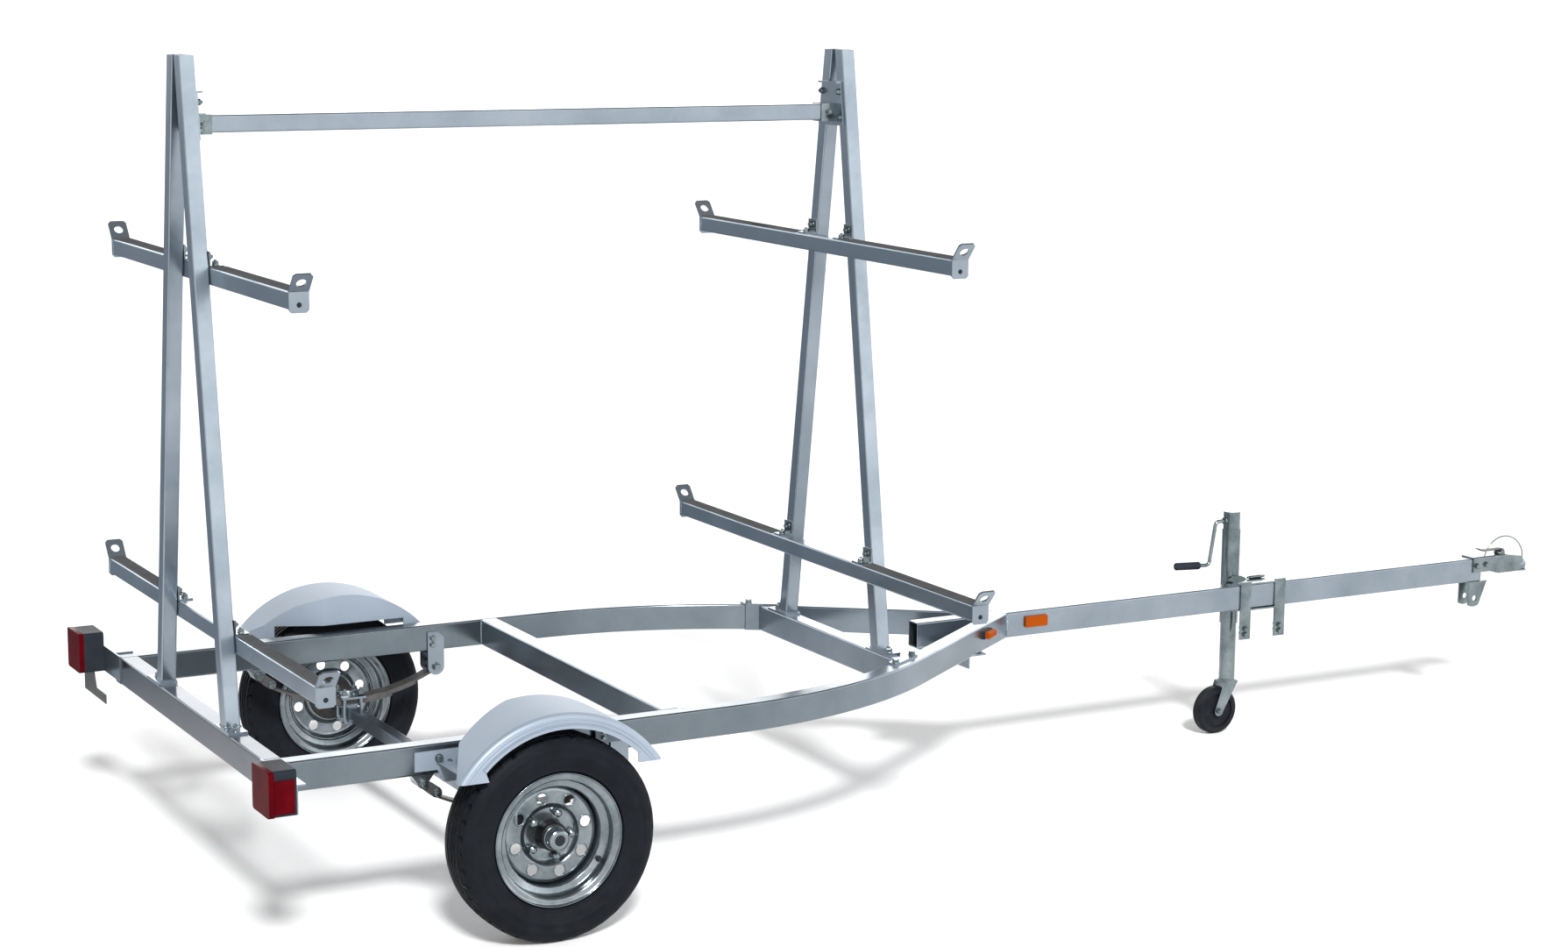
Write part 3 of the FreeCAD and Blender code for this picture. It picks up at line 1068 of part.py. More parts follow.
def jack_tube():
    """Outer tube with its gear head and the index disc it swivels on."""
    z = (JACK_TUBE_BOTTOM, JACK_TUBE_TOP)
    outer = cylinder(JACK_TUBE_RADIUS, (JACK_X, JACK_Y, z[0]), (JACK_X, JACK_Y, z[1]))
    head = cylinder(JACK_HEAD_RADIUS, (JACK_X, JACK_Y, z[1]), (JACK_X, JACK_Y, JACK_HEAD_TOP))
    boss = cylinder(11.0, (JACK_X, JACK_Y, CRANK_Z), (JACK_X - JACK_HEAD_RADIUS - 5, JACK_Y, CRANK_Z))
    y = TONGUE_SIDE_Y + PLATE + SLIP
    disc = cylinder(INDEX_DISC_RADIUS, (JACK_X, y, FRAME_MIDDLE), (JACK_X, y + INDEX_DISC, FRAME_MIDDLE))
    cheeks = box((JACK_X - JACK_TUBE_RADIUS - 3, JACK_X + JACK_TUBE_RADIUS + 3), (y + INDEX_DISC, JACK_Y),
                 (FRAME_MIDDLE - 38, FRAME_MIDDLE + 38))
    whole = fuse([outer, head, boss, disc, cheeks])
    bore = cylinder(JACK_TUBE_RADIUS - JACK_TUBE_WALL, (JACK_X, JACK_Y, 0), (JACK_X, JACK_Y, z[1]))
    socket = (JACK_X, y + INDEX_DISC - 1.0, FRAME_MIDDLE)
    pivot = cylinder(PIVOT_RADIUS + BEARING_GAP, (JACK_X, 0, FRAME_MIDDLE), socket)
    spindle_end = (JACK_X - JACK_HEAD_RADIUS - 34, JACK_Y, CRANK_Z)
    spindle = cylinder(CRANK_ROD_RADIUS + BEARING_GAP, (JACK_X - 16, JACK_Y, CRANK_Z), spindle_end)
    return whole.cut(bore).cut(pivot).cut(spindle)


def crank_points():
    """Corners of the crank's rod: out of the head, down the arm and back out to the grip."""
    x = JACK_X - 17
    arm_x = JACK_X - 62
    low_x = JACK_X - 84
    low_z = CRANK_Z - CRANK_ARM
    return [(x, JACK_Y, CRANK_Z), (arm_x, JACK_Y, CRANK_Z),
            (low_x, JACK_Y, low_z), (low_x - 126, JACK_Y, low_z + 6)]


def crank_grip():
    end = Vector(*crank_points()[-1])
    along = (Vector(*crank_points()[-2]) - end).normalize()
    start = end - along * 3
    grip = Part.makeCylinder(GRIP_RADIUS, GRIP_LENGTH, start, along)
    grip = grip.makeChamfer(3.0, [e for e in grip.Edges if len(e.Vertexes) == 1])
    hole = Part.makeCylinder(CRANK_ROD_RADIUS + BEARING_GAP, GRIP_LENGTH, end, along)
    return grip.cut(hole)


def ram():
    """Inner tube with a foot plate for the caster."""
    foot_top = FORK_CROWN_TOP + SLIP + 4.0
    tube = cylinder(RAM_RADIUS, (JACK_X, JACK_Y, foot_top), (JACK_X, JACK_Y, RAM_TOP))
    tube = tube.cut(cylinder(RAM_RADIUS - RAM_WALL, (JACK_X, JACK_Y, foot_top), (JACK_X, JACK_Y, RAM_TOP)))
    plate = cylinder(30.0, (JACK_X, JACK_Y, FORK_CROWN_TOP + SLIP), (JACK_X, JACK_Y, foot_top))
    hole = cylinder(CASTER_PIN_RADIUS + BEARING_GAP, (JACK_X, JACK_Y, 0), (JACK_X, JACK_Y, foot_top))
    return tube.fuse(plate).cut(hole).removeSplitter()


def caster_fork():
    """Crown plate with two raked legs, the kingpin and the wheel's bolt."""
    axle_x = JACK_X - CASTER_TRAIL
    inside = CASTER_WIDTH / 2 + FORK_GAP
    outside = inside + FORK_PLATE
    crown_z = (FORK_CROWN_TOP - 5.0, FORK_CROWN_TOP)
    crown = box((JACK_X - 30, JACK_X + 30), (JACK_Y - outside, JACK_Y + outside), crown_z)
    crown = crown.makeFillet(12.0, [e for e in crown.Edges if abs(e.Length - 5.0) < 1e-6])
    parts = [crown]
    for y in (JACK_Y - outside, JACK_Y + inside):
        steps = [(JACK_X - 28, crown_z[1] - 2), (axle_x - 15, CASTER_RADIUS + 3),
                 ((axle_x + 2, CASTER_RADIUS - 16), (axle_x + 15, CASTER_RADIUS - 4)),
                 (JACK_X + 26, crown_z[1] - 2)]
        parts.append(slab("XZ", steps, y, y + FORK_PLATE))
    reach = outside + 5
    bolt_ends = ((axle_x, JACK_Y - reach, CASTER_RADIUS), (axle_x, JACK_Y + reach, CASTER_RADIUS))
    parts.append(cylinder(CASTER_PIN_RADIUS, *bolt_ends))
    kingpin_top = (JACK_X, JACK_Y, FORK_CROWN_TOP + 12)
    parts.append(cylinder(CASTER_PIN_RADIUS, (JACK_X, JACK_Y, crown_z[0]), kingpin_top))
    return fuse(parts)


def caster_wheel():
    """Solid wheel with a rounded tread, dished sides and a hub."""
    half = CASTER_WIDTH / 2
    r = CASTER_RADIUS
    hub_half = half + FORK_GAP - SLIP
    bore = CASTER_PIN_RADIUS + BEARING_GAP
    dish = half - 8.0
    outside = [(hub_half, bore), (hub_half, 15.0), (dish, 15.0), (dish, 54.0),
               (half, 54.0), (half, r - 8), (dish, r)]
    steps = outside + [(-a, b) for a, b in reversed(outside)]
    moved = [(JACK_Y + a, r + b) for a, b in steps]
    x = JACK_X - CASTER_TRAIL
    return turned(outline("YZ", moved, x), (x, 0, r), (0, 1, 0))


def make_jack():
    keep("jack_clamp", jack_clamp())
    keep("jack_plunger", jack_plunger())
    keep("jack_tube", jack_tube())
    keep("jack_crank", bent_rod(crank_points(), 14.0, CRANK_ROD_RADIUS))
    keep("crank_grip", crank_grip())
    keep("jack_ram", ram())
    keep("caster_fork", caster_fork())
    keep("caster_wheel", caster_wheel())


def write_nodes():
    os.makedirs("parts", exist_ok=True)
    shift = Vector(-ORIGIN_X, 0, 0)
    for name, shapes in NODES.items():
        placed = []
        for shape in shapes:
            for solid in shape.Solids:
                moved = solid.copy()
                moved.translate(shift)
                placed.append(moved)
        whole = placed[0] if len(placed) == 1 else Part.makeCompound(placed)
        whole.exportStep("parts/" + name + ".step")
        box_size = whole.BoundBox
        print(f"{name:28s} solids {len(placed):2d}  X {box_size.XMin:8.1f} {box_size.XMax:8.1f}"
              f"  Y {box_size.YMin:7.1f} {box_size.YMax:7.1f}  Z {box_size.ZMin:7.1f} {box_size.ZMax:7.1f}"
              f"  valid {whole.isValid()}")


for make in (make_frame, make_cross_saddles, make_masts, make_arms, make_axle, make_springs, make_wheels,
             make_fenders, make_lamps, make_coupler, make_jack):
    make()
write_nodes()
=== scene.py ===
# %% [markdown]
# # A kayak trailer
# A light two-wheeled trailer for kayaks: a boat-shaped frame of galvanised tube, two A-shaped masts with
# arms that end in lashing eyes, a long tongue with a ball coupler, and a swivel jack on a small caster.
# Its pieces come from a CAD model, and most of them stay as they are. This lesson lights them and gives
# every one a finish made of shader nodes. It makes nine of them anew in finer detail, such as the tyres,
# rims and hubs, and adds the small parts that CAD left out, such as nuts and welds.

# %% Load the CAD pieces
import bmesh
import bpy
import json
import math
from mathutils import Matrix, Vector


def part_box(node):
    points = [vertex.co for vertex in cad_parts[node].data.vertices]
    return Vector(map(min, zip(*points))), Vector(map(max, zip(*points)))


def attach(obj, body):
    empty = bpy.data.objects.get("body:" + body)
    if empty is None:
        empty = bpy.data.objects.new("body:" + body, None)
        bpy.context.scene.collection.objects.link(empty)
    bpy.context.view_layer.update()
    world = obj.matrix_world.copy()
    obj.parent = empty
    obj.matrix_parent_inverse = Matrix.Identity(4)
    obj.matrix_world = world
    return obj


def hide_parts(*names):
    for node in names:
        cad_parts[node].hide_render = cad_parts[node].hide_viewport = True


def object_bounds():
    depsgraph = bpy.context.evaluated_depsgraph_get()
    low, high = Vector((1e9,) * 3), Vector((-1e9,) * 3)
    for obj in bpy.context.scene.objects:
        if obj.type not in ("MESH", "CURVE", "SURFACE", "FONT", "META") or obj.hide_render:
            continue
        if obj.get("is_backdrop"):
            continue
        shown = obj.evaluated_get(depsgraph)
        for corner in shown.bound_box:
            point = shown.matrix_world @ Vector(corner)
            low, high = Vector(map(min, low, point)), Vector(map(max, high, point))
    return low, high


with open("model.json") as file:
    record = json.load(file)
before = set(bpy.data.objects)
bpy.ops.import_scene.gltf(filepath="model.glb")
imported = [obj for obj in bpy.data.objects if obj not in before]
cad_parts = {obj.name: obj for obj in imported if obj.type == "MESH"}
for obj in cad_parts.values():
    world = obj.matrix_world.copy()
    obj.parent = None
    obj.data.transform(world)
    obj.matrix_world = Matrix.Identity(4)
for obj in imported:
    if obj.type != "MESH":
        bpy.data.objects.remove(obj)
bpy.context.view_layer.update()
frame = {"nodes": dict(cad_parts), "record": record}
scene = bpy.context.scene
print("pieces from CAD:", len(frame["nodes"]))

# %% [markdown]
# ## The camera
# The trailer is seen from behind its right wheel, from about 2.4 metres up, through a long lens that
# keeps the masts nearly upright. The camera could be aimed with a Track To constraint. Here three
# angles are turned into a rotation instead, because a tracked camera can't lean by a fraction of a degree.

# %% Camera
CAMERA_PLACE = Vector((-4.4675, -7.263, 2.399))
CAMERA_YAW = math.radians(28.74)      # to the right of straight across the trailer
CAMERA_PITCH = math.radians(9.82)     # downwards
CAMERA_ROLL = math.radians(0.45)
look = Vector((math.sin(CAMERA_YAW) * math.cos(CAMERA_PITCH), math.cos(CAMERA_YAW) * math.cos(CAMERA_PITCH),
               -math.sin(CAMERA_PITCH)))
camera_data = bpy.data.cameras.new("camera")
camera_data.lens = 67.9
camera_data.sensor_width = 36.0
camera = bpy.data.objects.new("camera", camera_data)
scene.collection.objects.link(camera)
aim = look.to_track_quat("-Z", "Y").to_matrix().to_4x4()
camera.matrix_world = Matrix.Translation(CAMERA_PLACE) @ aim @ Matrix.Rotation(CAMERA_ROLL, 4, "Z")
scene.camera = camera

# %% [markdown]
# ## Shader building blocks
# Several finishes share the same effects. Zinc shows soft grey clouds and small crystals, road dust
# gathers low down, and plastic and rubber have a fine grain. Each effect could be copied into every
# material, but then a change has to be made many times. A node group is made once, has named inputs and
# outputs, and each material sets its own values on it.

# %% Helpers for node trees
def node(tree, kind, **values):
    """A shader node. Each value goes to the setting or the socket of its name."""
    made = tree.nodes.new(kind)
    for name, value in values.items():
        if hasattr(made, name):
            setattr(made, name, value)
        else:
            made.inputs[name.replace("_", " ")].default_value = value
    return made


def effect(name, inputs, outputs):
    """An empty node group with number inputs and their starting values, and its outputs."""
    group = bpy.data.node_groups.new(name, "ShaderNodeTree")
    for label, start in inputs.items():
        socket = group.interface.new_socket(label, in_out="INPUT", socket_type="NodeSocketFloat")
        socket.default_value = start
    for label, kind in outputs.items():
        group.interface.new_socket(label, in_out="OUTPUT", socket_type=kind)
    return group, group.nodes.new("NodeGroupInput"), group.nodes.new("NodeGroupOutput")


def ramp(tree, source, *stops):
    """A colour ramp over a value, from pairs of a place and a grey or a colour."""
    made = tree.nodes.new("ShaderNodeValToRGB")
    line = made.color_ramp
    while len(line.elements) < len(stops):
        line.elements.new(1.0)
    for element, (place, shade) in zip(line.elements, stops):
        element.position = place
        element.color = (*shade, 1.0) if isinstance(shade, tuple) else (shade, shade, shade, 1.0)
    tree.links.new(source, made.inputs["Fac"])
    return made.outputs["Color"]


def mixed(tree, factor, first, second, kind="MIX"):
    """Two colours mixed; each is a socket or a colour, and so is the factor."""
    made = tree.nodes.new("ShaderNodeMix")
    made.data_type = "RGBA"
    made.blend_type = kind
    for socket, value in ((made.inputs[0], factor), (made.inputs[6], first), (made.inputs[7], second)):
        if isinstance(value, bpy.types.NodeSocket):
            tree.links.new(value, socket)
        else:
            socket.default_value = (*value, 1.0) if isinstance(value, tuple) else value
    return made.outputs[2]


def number(tree, operation, first, second=0.0, third=0.0, clamp=False):
    """Arithmetic on numbers or sockets."""
    made = tree.nodes.new("ShaderNodeMath")
    made.operation = operation
    made.use_clamp = clamp
    for socket, value in zip(made.inputs, (first, second, third)):
        if isinstance(value, bpy.types.NodeSocket):
            tree.links.new(value, socket)
        else:
            socket.default_value = value
    return made.outputs[0]


# %% [markdown]
# ### Zinc
# Hot-dip zinc sets in flat crystals a few millimetres to a few centimetres across, so a tube looks
# patchy: cloudy at arm's length, and faceted close up. A picture of zinc would show seams at the corners
# of a tube. Noise and Voronoi textures on Object coordinates run through the whole piece without one.

# %% Zinc group
zinc, zinc_in, zinc_out = effect("zinc_crystals",
                                 {"Cloud Scale": 5.0, "Crystal Scale": 70.0, "Crystal Share": 0.4},
                                 {"Tone": "NodeSocketFloat", "Height": "NodeSocketFloat"})
where = node(zinc, "ShaderNodeTexCoord").outputs["Object"]
cloud = node(zinc, "ShaderNodeTexNoise", Detail=3.0, Roughness=0.55)
warp = node(zinc, "ShaderNodeTexNoise", Scale=22.0, Detail=2.0)
crystals = node(zinc, "ShaderNodeTexVoronoi", Randomness=1.0)
zinc.links.new(where, cloud.inputs["Vector"])
zinc.links.new(where, warp.inputs["Vector"])
zinc.links.new(zinc_in.outputs["Cloud Scale"], cloud.inputs["Scale"])
bent = zinc.nodes.new("ShaderNodeVectorMath")
bent.operation = "MULTIPLY_ADD"
zinc.links.new(warp.outputs["Color"], bent.inputs[0])
bent.inputs[1].default_value = (0.012, 0.012, 0.012)
zinc.links.new(where, bent.inputs[2])
zinc.links.new(bent.outputs[0], crystals.inputs["Vector"])
zinc.links.new(zinc_in.outputs["Crystal Scale"], crystals.inputs["Scale"])
facet = node(zinc, "ShaderNodeSeparateColor")
zinc.links.new(crystals.outputs["Color"], facet.inputs[0])
cloudy = ramp(zinc, cloud.outputs["Fac"], (0.3, 0.0), (0.7, 1.0))
cloud_share = number(zinc, "SUBTRACT", 1.0, zinc_in.outputs["Crystal Share"])
cloud_part = number(zinc, "MULTIPLY", cloudy, cloud_share)
facet_part = number(zinc, "MULTIPLY", facet.outputs[0], zinc_in.outputs["Crystal Share"])
zinc.links.new(number(zinc, "ADD", cloud_part, facet_part, clamp=True), zinc_out.inputs["Tone"])
relief = number(zinc, "ADD", crystals.outputs["Distance"], cloud.outputs["Fac"])
zinc.links.new(relief, zinc_out.inputs["Height"])
print("zinc group has", len(zinc.nodes), "nodes")

# %% [markdown]
# ### Road dust
# Wheels throw grey dust on whatever is low. Its mask fades with height above the ground and breaks up
# with noise. Height is the Z of Object coordinates, because every piece's object sits at the origin.

# %% Dust group
dust, dust_in, dust_out = effect("road_dust", {"Top": 0.55, "Amount": 0.5, "Scale": 14.0},
                                 {"Mask": "NodeSocketFloat"})
where = node(dust, "ShaderNodeTexCoord").outputs["Object"]
patches = node(dust, "ShaderNodeTexNoise", Detail=6.0, Roughness=0.7)
dust.links.new(where, patches.inputs["Vector"])
dust.links.new(dust_in.outputs["Scale"], patches.inputs["Scale"])
height = node(dust, "ShaderNodeSeparateXYZ")
dust.links.new(where, height.inputs[0])
share_of_top = number(dust, "DIVIDE", height.outputs["Z"], dust_in.outputs["Top"])
low = number(dust, "SUBTRACT", 1.0, share_of_top, clamp=True)
broken = number(dust, "MULTIPLY", low, ramp(dust, patches.outputs["Fac"], (0.4, 0.0), (0.72, 1.0)))
mask = number(dust, "MULTIPLY", broken, dust_in.outputs["Amount"], clamp=True)
dust.links.new(mask, dust_out.inputs["Mask"])
print("dust group has", len(dust.nodes), "nodes")

# %% [markdown]
# ### Grain
# Moulded plastic, rubber and sprayed paint are never quite smooth. Two sizes of noise give a fine
# pebble and a broad waviness. They feed the bump and the roughness, and the waves feed the colour too.

# %% Grain group
grain, grain_in, grain_out = effect("fine_grain",
                                    {"Pebble Scale": 900.0, "Wave Scale": 30.0, "Wave Share": 0.35},
                                    {"Value": "NodeSocketFloat", "Wave": "NodeSocketFloat"})
where = node(grain, "ShaderNodeTexCoord").outputs["Object"]
pebble = node(grain, "ShaderNodeTexNoise", Detail=2.0)
wave = node(grain, "ShaderNodeTexNoise", Detail=3.0)
for texture, socket in ((pebble, "Pebble Scale"), (wave, "Wave Scale")):
    grain.links.new(where, texture.inputs["Vector"])
    grain.links.new(grain_in.outputs[socket], texture.inputs["Scale"])
part_wave = number(grain, "MULTIPLY", wave.outputs["Fac"], grain_in.outputs["Wave Share"])
pebble_share = number(grain, "SUBTRACT", 1.0, grain_in.outputs["Wave Share"])
part_pebble = number(grain, "MULTIPLY", pebble.outputs["Fac"], pebble_share)
grain.links.new(number(grain, "ADD", part_wave, part_pebble), grain_out.inputs["Value"])
grain.links.new(wave.outputs["Fac"], grain_out.inputs["Wave"])
print("grain group has", len(grain.nodes), "nodes")

# %% [markdown]
# ## Finishes
# Each finish is one material with a Principled shader. Numbers that are the same all over are set on the
# shader itself, and only what changes over the surface comes from a node.

# %% Helpers for finishes
FINISHES = {}


def finish(name, **constants):
    """A material with its Principled shader; constants go straight to the shader's sockets."""
    material = bpy.data.materials.new(name)
    material.use_nodes = True
    shader = material.node_tree.nodes["Principled BSDF"]
    for label, value in constants.items():
        shader.inputs[label.replace("_", " ")].default_value = value
    FINISHES[name] = material
    return material.node_tree, shader


def use(tree, group, **values):
    """A group placed in a material with its own values."""
    made = tree.nodes.new("ShaderNodeGroup")
    made.node_tree = group
    for label, value in values.items():
        made.inputs[label.replace("_", " ")].default_value = value
    return made


def bump(tree, shader, height, strength, depth):
    """A height turned into small relief on the shader's normal."""
    made = node(tree, "ShaderNodeBump", Strength=strength, Distance=depth)
    tree.links.new(height, made.inputs["Height"])
    tree.links.new(made.outputs["Normal"], shader.inputs["Normal"])


def feed(tree, shader, **sources):
    """Sockets that drive the shader's inputs of those names."""
    for label, source in sources.items():
        tree.links.new(source, shader.inputs[label.replace("_", " ")])


def as_range(tree, value, low, high):
    """A 0 to 1 value stretched over a range."""
    return number(tree, "MULTIPLY_ADD", value, high - low, low)


# %% [markdown]
# ### Zinc-coated steel
# The frame is dipped in molten zinc: matt, patchy grey. The coupler, the jack and the clips are plated
# instead, which is smoother and brighter. The wheels are dipped too, but spun clean, so they shine more.
# The rails and the crossmember saddles get a darker copy of the frame's zinc, which is painted shade that
# fades toward the front, and the rear crossmember a still darker one, which is painted shade too. All of
# them use the zinc group with other values.

# %% Zinc finishes
# name: dark tone, bright tone, roughness at the bright and at the dark tone, cloud scale, crystal scale,
# crystal share, bump depth
ZINC_LOOKS = {
    "galvanised_steel": ((0.205, 0.245, 0.285), (0.30, 0.345, 0.39), 0.17, 0.27, 5.0, 75.0, 0.12, 0.0002),
    # the next two tones are darker copies of the frame's zinc: painted shade
    "shaded_low_steel": ((0.120, 0.145, 0.165), (0.180, 0.210, 0.235), 0.16, 0.25, 4.0, 75.0, 0.12, 0.0002),
    "rear_steel": ((0.045, 0.055, 0.072), (0.078, 0.092, 0.112), 0.12, 0.20, 4.0, 75.0, 0.2, 0.0002),
    "zinc_steel": ((0.10, 0.130, 0.140), (0.26, 0.305, 0.32), 0.16, 0.26, 16.0, 240.0, 0.2, 0.0001),
    "wheel_steel": ((0.095, 0.125, 0.14), (0.30, 0.34, 0.365), 0.12, 0.22, 10.0, 110.0, 0.2, 0.0001),
    "hub_steel": ((0.012, 0.012, 0.013), (0.045, 0.045, 0.048), 0.30, 0.45, 25.0, 300.0, 0.2, 0.0001),
}
for name, (dark, bright, smooth, rough, clouds, size, share, depth) in ZINC_LOOKS.items():
    tree, shader = finish(name, Metallic=0.92)
    coat = use(tree, zinc, Cloud_Scale=clouds, Crystal_Scale=size, Crystal_Share=share)
    low_dust = use(tree, dust, Top=0.45, Amount=0.35)
    metal = mixed(tree, coat.outputs["Tone"], dark, bright)
    if name == "shaded_low_steel":         # the painted shade fades toward the front
        along = node(tree, "ShaderNodeSeparateXYZ")
        tree.links.new(node(tree, "ShaderNodeTexCoord").outputs["Object"], along.inputs[0])
        unshaded_metal = mixed(tree, coat.outputs["Tone"], *ZINC_LOOKS["galvanised_steel"][:2])
        forward = number(tree, "MULTIPLY_ADD", along.outputs["X"], 0.8, 0.85, clamp=True)
        metal = mixed(tree, forward, metal, unshaded_metal)
    feed(tree, shader, Base_Color=mixed(tree, low_dust.outputs["Mask"], metal, (0.22, 0.20, 0.18)),
         Roughness=as_range(tree, coat.outputs["Tone"], rough, smooth))
    bump(tree, shader, coat.outputs["Height"], 0.03, depth)
    print(name, "done")

# %% [markdown]
# ### Painted steel
# The fenders and their brackets are sprayed silver: metallic paint with a faint orange-peel. The leaf
# springs, their shackles, the latch and the plate strip are painted black, with dust on what is low.

# %% Painted finishes
tree, shader = finish("fender_sheet", Metallic=0.35, Specular_IOR_Level=0.3)
peel = use(tree, grain, Pebble_Scale=420.0, Wave_Scale=7.0, Wave_Share=0.5)
feed(tree, shader, Base_Color=mixed(tree, peel.outputs["Wave"], (0.23, 0.275, 0.335), (0.30, 0.35, 0.415)),
     Roughness=as_range(tree, peel.outputs["Value"], 0.40, 0.56))
bump(tree, shader, peel.outputs["Value"], 0.25, 0.0003)
for name, shade in (("spring_steel", 0.035), ("black_steel", 0.03)):
    tree, shader = finish(name, Metallic=0.0)
    peel = use(tree, grain, Pebble_Scale=500.0, Wave_Scale=18.0, Wave_Share=0.4)
    low_dust = use(tree, dust, Top=0.5, Amount=0.6, Scale=22.0)
    paint = mixed(tree, peel.outputs["Wave"], (shade * 0.6,) * 3, (shade * 1.7,) * 3)
    feed(tree, shader, Base_Color=mixed(tree, low_dust.outputs["Mask"], paint, (0.20, 0.18, 0.16)),
         Roughness=as_range(tree, peel.outputs["Value"], 0.34, 0.62))
    bump(tree, shader, peel.outputs["Value"], 0.3, 0.0003)
print("painted finishes:", [n for n in FINISHES if "sheet" in n or "black" in n or "spring" in n])

# %% [markdown]
# ### Rubber and plastic
# Tyre rubber is dull and slightly brown where dust sticks. Lamp housings, the crank's grip and the
# caster are moulded plastic with a fine grain and a few shinier, handled spots. The pads on the arms are
# sun-bleached rubber, which has lost its shine altogether.

# %% Rubber and plastic finishes
# name: dark tone, light tone, smooth, rough, pebble scale, dust
DULL_LOOKS = {
    "tyre_rubber": (0.004, 0.010, 0.38, 0.58, 700.0, 0.05),
    "black_plastic": (0.012, 0.022, 0.35, 0.55, 900.0, 0.2),
    "grip_plastic": (0.014, 0.028, 0.38, 0.60, 600.0, 0.1),
    "caster_plastic": (0.005, 0.012, 0.36, 0.60, 600.0, 0.12),
}
for name, (dark, light, smooth, rough, pebbles, dusty) in DULL_LOOKS.items():
    tree, shader = finish(name, Metallic=0.0, Specular_IOR_Level=0.05)
    skin = use(tree, grain, Pebble_Scale=pebbles, Wave_Scale=16.0, Wave_Share=0.3)
    low_dust = use(tree, dust, Top=0.6, Amount=dusty, Scale=26.0)
    base = mixed(tree, skin.outputs["Wave"], (dark, dark * 1.2, dark * 1.6),
                 (light, light * 1.2, light * 1.6))
    feed(tree, shader, Base_Color=mixed(tree, low_dust.outputs["Mask"], base, (0.10, 0.092, 0.082)),
         Roughness=as_range(tree, skin.outputs["Wave"], smooth, rough))
    bump(tree, shader, skin.outputs["Value"], 0.35, 0.0004)
tree, shader = finish("pad_rubber", Metallic=0.0, Specular_IOR_Level=0.0, Roughness=0.8)
skin = use(tree, grain, Pebble_Scale=500.0, Wave_Scale=12.0, Wave_Share=0.5)
bleached = mixed(tree, skin.outputs["Wave"], (0.062, 0.064, 0.066), (0.105, 0.108, 0.110))
feed(tree, shader, Base_Color=bleached)
bump(tree, shader, skin.outputs["Value"], 0.3, 0.0005)
print("dull finishes:", [*DULL_LOOKS, "pad_rubber"])

# %% [markdown]
# ### Lenses
# A tail lens is clear red acrylic over small prisms, so it is dark red, and brighter along the edges of
# its prisms. Real refraction would need a modelled inside, so they are drawn as a colour and a slight bump.

# %% Lens finishes
# name: colour at a prism's middle, colour toward its edges
LENS_LOOKS = {
    "red_lens": ((0.025, 0.001, 0.002), (0.16, 0.003, 0.008)),
    "amber_lens": ((0.22, 0.035, 0.003), (0.42, 0.085, 0.006)),
}
for name, (deep, lit) in LENS_LOOKS.items():
    tree, shader = finish(name, Metallic=0.0, Specular_IOR_Level=0.01)
    where = node(tree, "ShaderNodeTexCoord").outputs["Object"]
    prisms = node(tree, "ShaderNodeTexVoronoi", Scale=150.0, Randomness=0.0, distance="CHEBYCHEV")
    tree.links.new(where, prisms.inputs["Vector"])
    shade = use(tree, grain, Pebble_Scale=300.0, Wave_Scale=20.0, Wave_Share=0.6)
    cells = number(tree, "MULTIPLY", prisms.outputs["Distance"], 1.6, clamp=True)
    glow = number(tree, "MULTIPLY", cells, shade.outputs["Wave"])
    feed(tree, shader, Base_Color=mixed(tree, glow, deep, lit),
         Roughness=as_range(tree, shade.outputs["Value"], 0.12, 0.30))
    bump(tree, shader, prisms.outputs["Distance"], 0.12, 0.0006)
print("lens finishes:", [*LENS_LOOKS])

# %% [markdown]
# ### Finishes on the CAD pieces
# The record that came with the CAD pieces names a material slot for each one. The finishes have the
# slots' names, so one loop dresses the whole frame. A few pieces get a finish other than their slot's: bare
# zinc on the spring hangers and the chain bracket, the fenders' paint on their brackets, and darker zinc,
# which is painted shade, on the rails, the saddles and the rear crossmember.

# %% Dress the CAD pieces
finish_of = {part["node"]: part["material_slot"] for part in frame["record"]["subparts"]}
finish_of.update(chain_bracket="zinc_steel", spring_hangers="galvanised_steel",
                 fender_brackets="fender_sheet")
# painted shade: the rails and saddles get a darker copy of the frame's zinc
finish_of.update(dict.fromkeys(("rail_left", "rail_right", "crossmember_saddles"), "shaded_low_steel"))
# painted shade: the rear crossmember gets a still darker copy of the frame's zinc
finish_of["crossmember_rear"] = "rear_steel"
for name, piece in frame["nodes"].items():
    piece.data.materials.clear()
    piece.data.materials.append(FINISHES[finish_of[name]])
print("dressed:", len(finish_of), "pieces in", len(set(finish_of.values())), "finishes")

# %% [markdown]
# ## New pieces
# CAD gave the trailer its steel shapes. What makes it look real at close range is smaller: tread, rolled
# rim lips, nuts with thread showing, weld ripples. They could be painted on with a bump, but a bump has no
# outline and no shadow, so they are modelled. Each begins as a few points or a simple bmesh shape that
# operators turn, push in or round off.

# %% Helpers for new pieces
def centre_of(name):
    """Middle of a CAD piece's box."""
    low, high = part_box(name)
    return (low + high) / 2


def save_piece(shape, name, body, slot, sharp=35.0, look=None):
    """Doubled corners are merged, faces turned outward, and the mesh becomes a piece on a body."""
    bmesh.ops.remove_doubles(shape, verts=shape.verts, dist=2e-6)
    bmesh.ops.recalc_face_normals(shape, faces=shape.faces)
    data = bpy.data.meshes.new(name)
    shape.to_mesh(data)
    shape.free()
    data.materials.append(FINISHES[look or slot])
    data.shade_smooth()
    data.set_sharp_from_angle(angle=math.radians(sharp))
    piece = bpy.data.objects.new(name, data)
    scene.collection.objects.link(piece)
    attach(piece, body)
    return piece


def add_to(shape, part):
    """A small finished bmesh is joined into a larger one; small ones are much quicker to work on."""
    data = bpy.data.meshes.new("part")
    part.to_mesh(data)
    part.free()
    shape.from_mesh(data)
    bpy.data.meshes.remove(data)


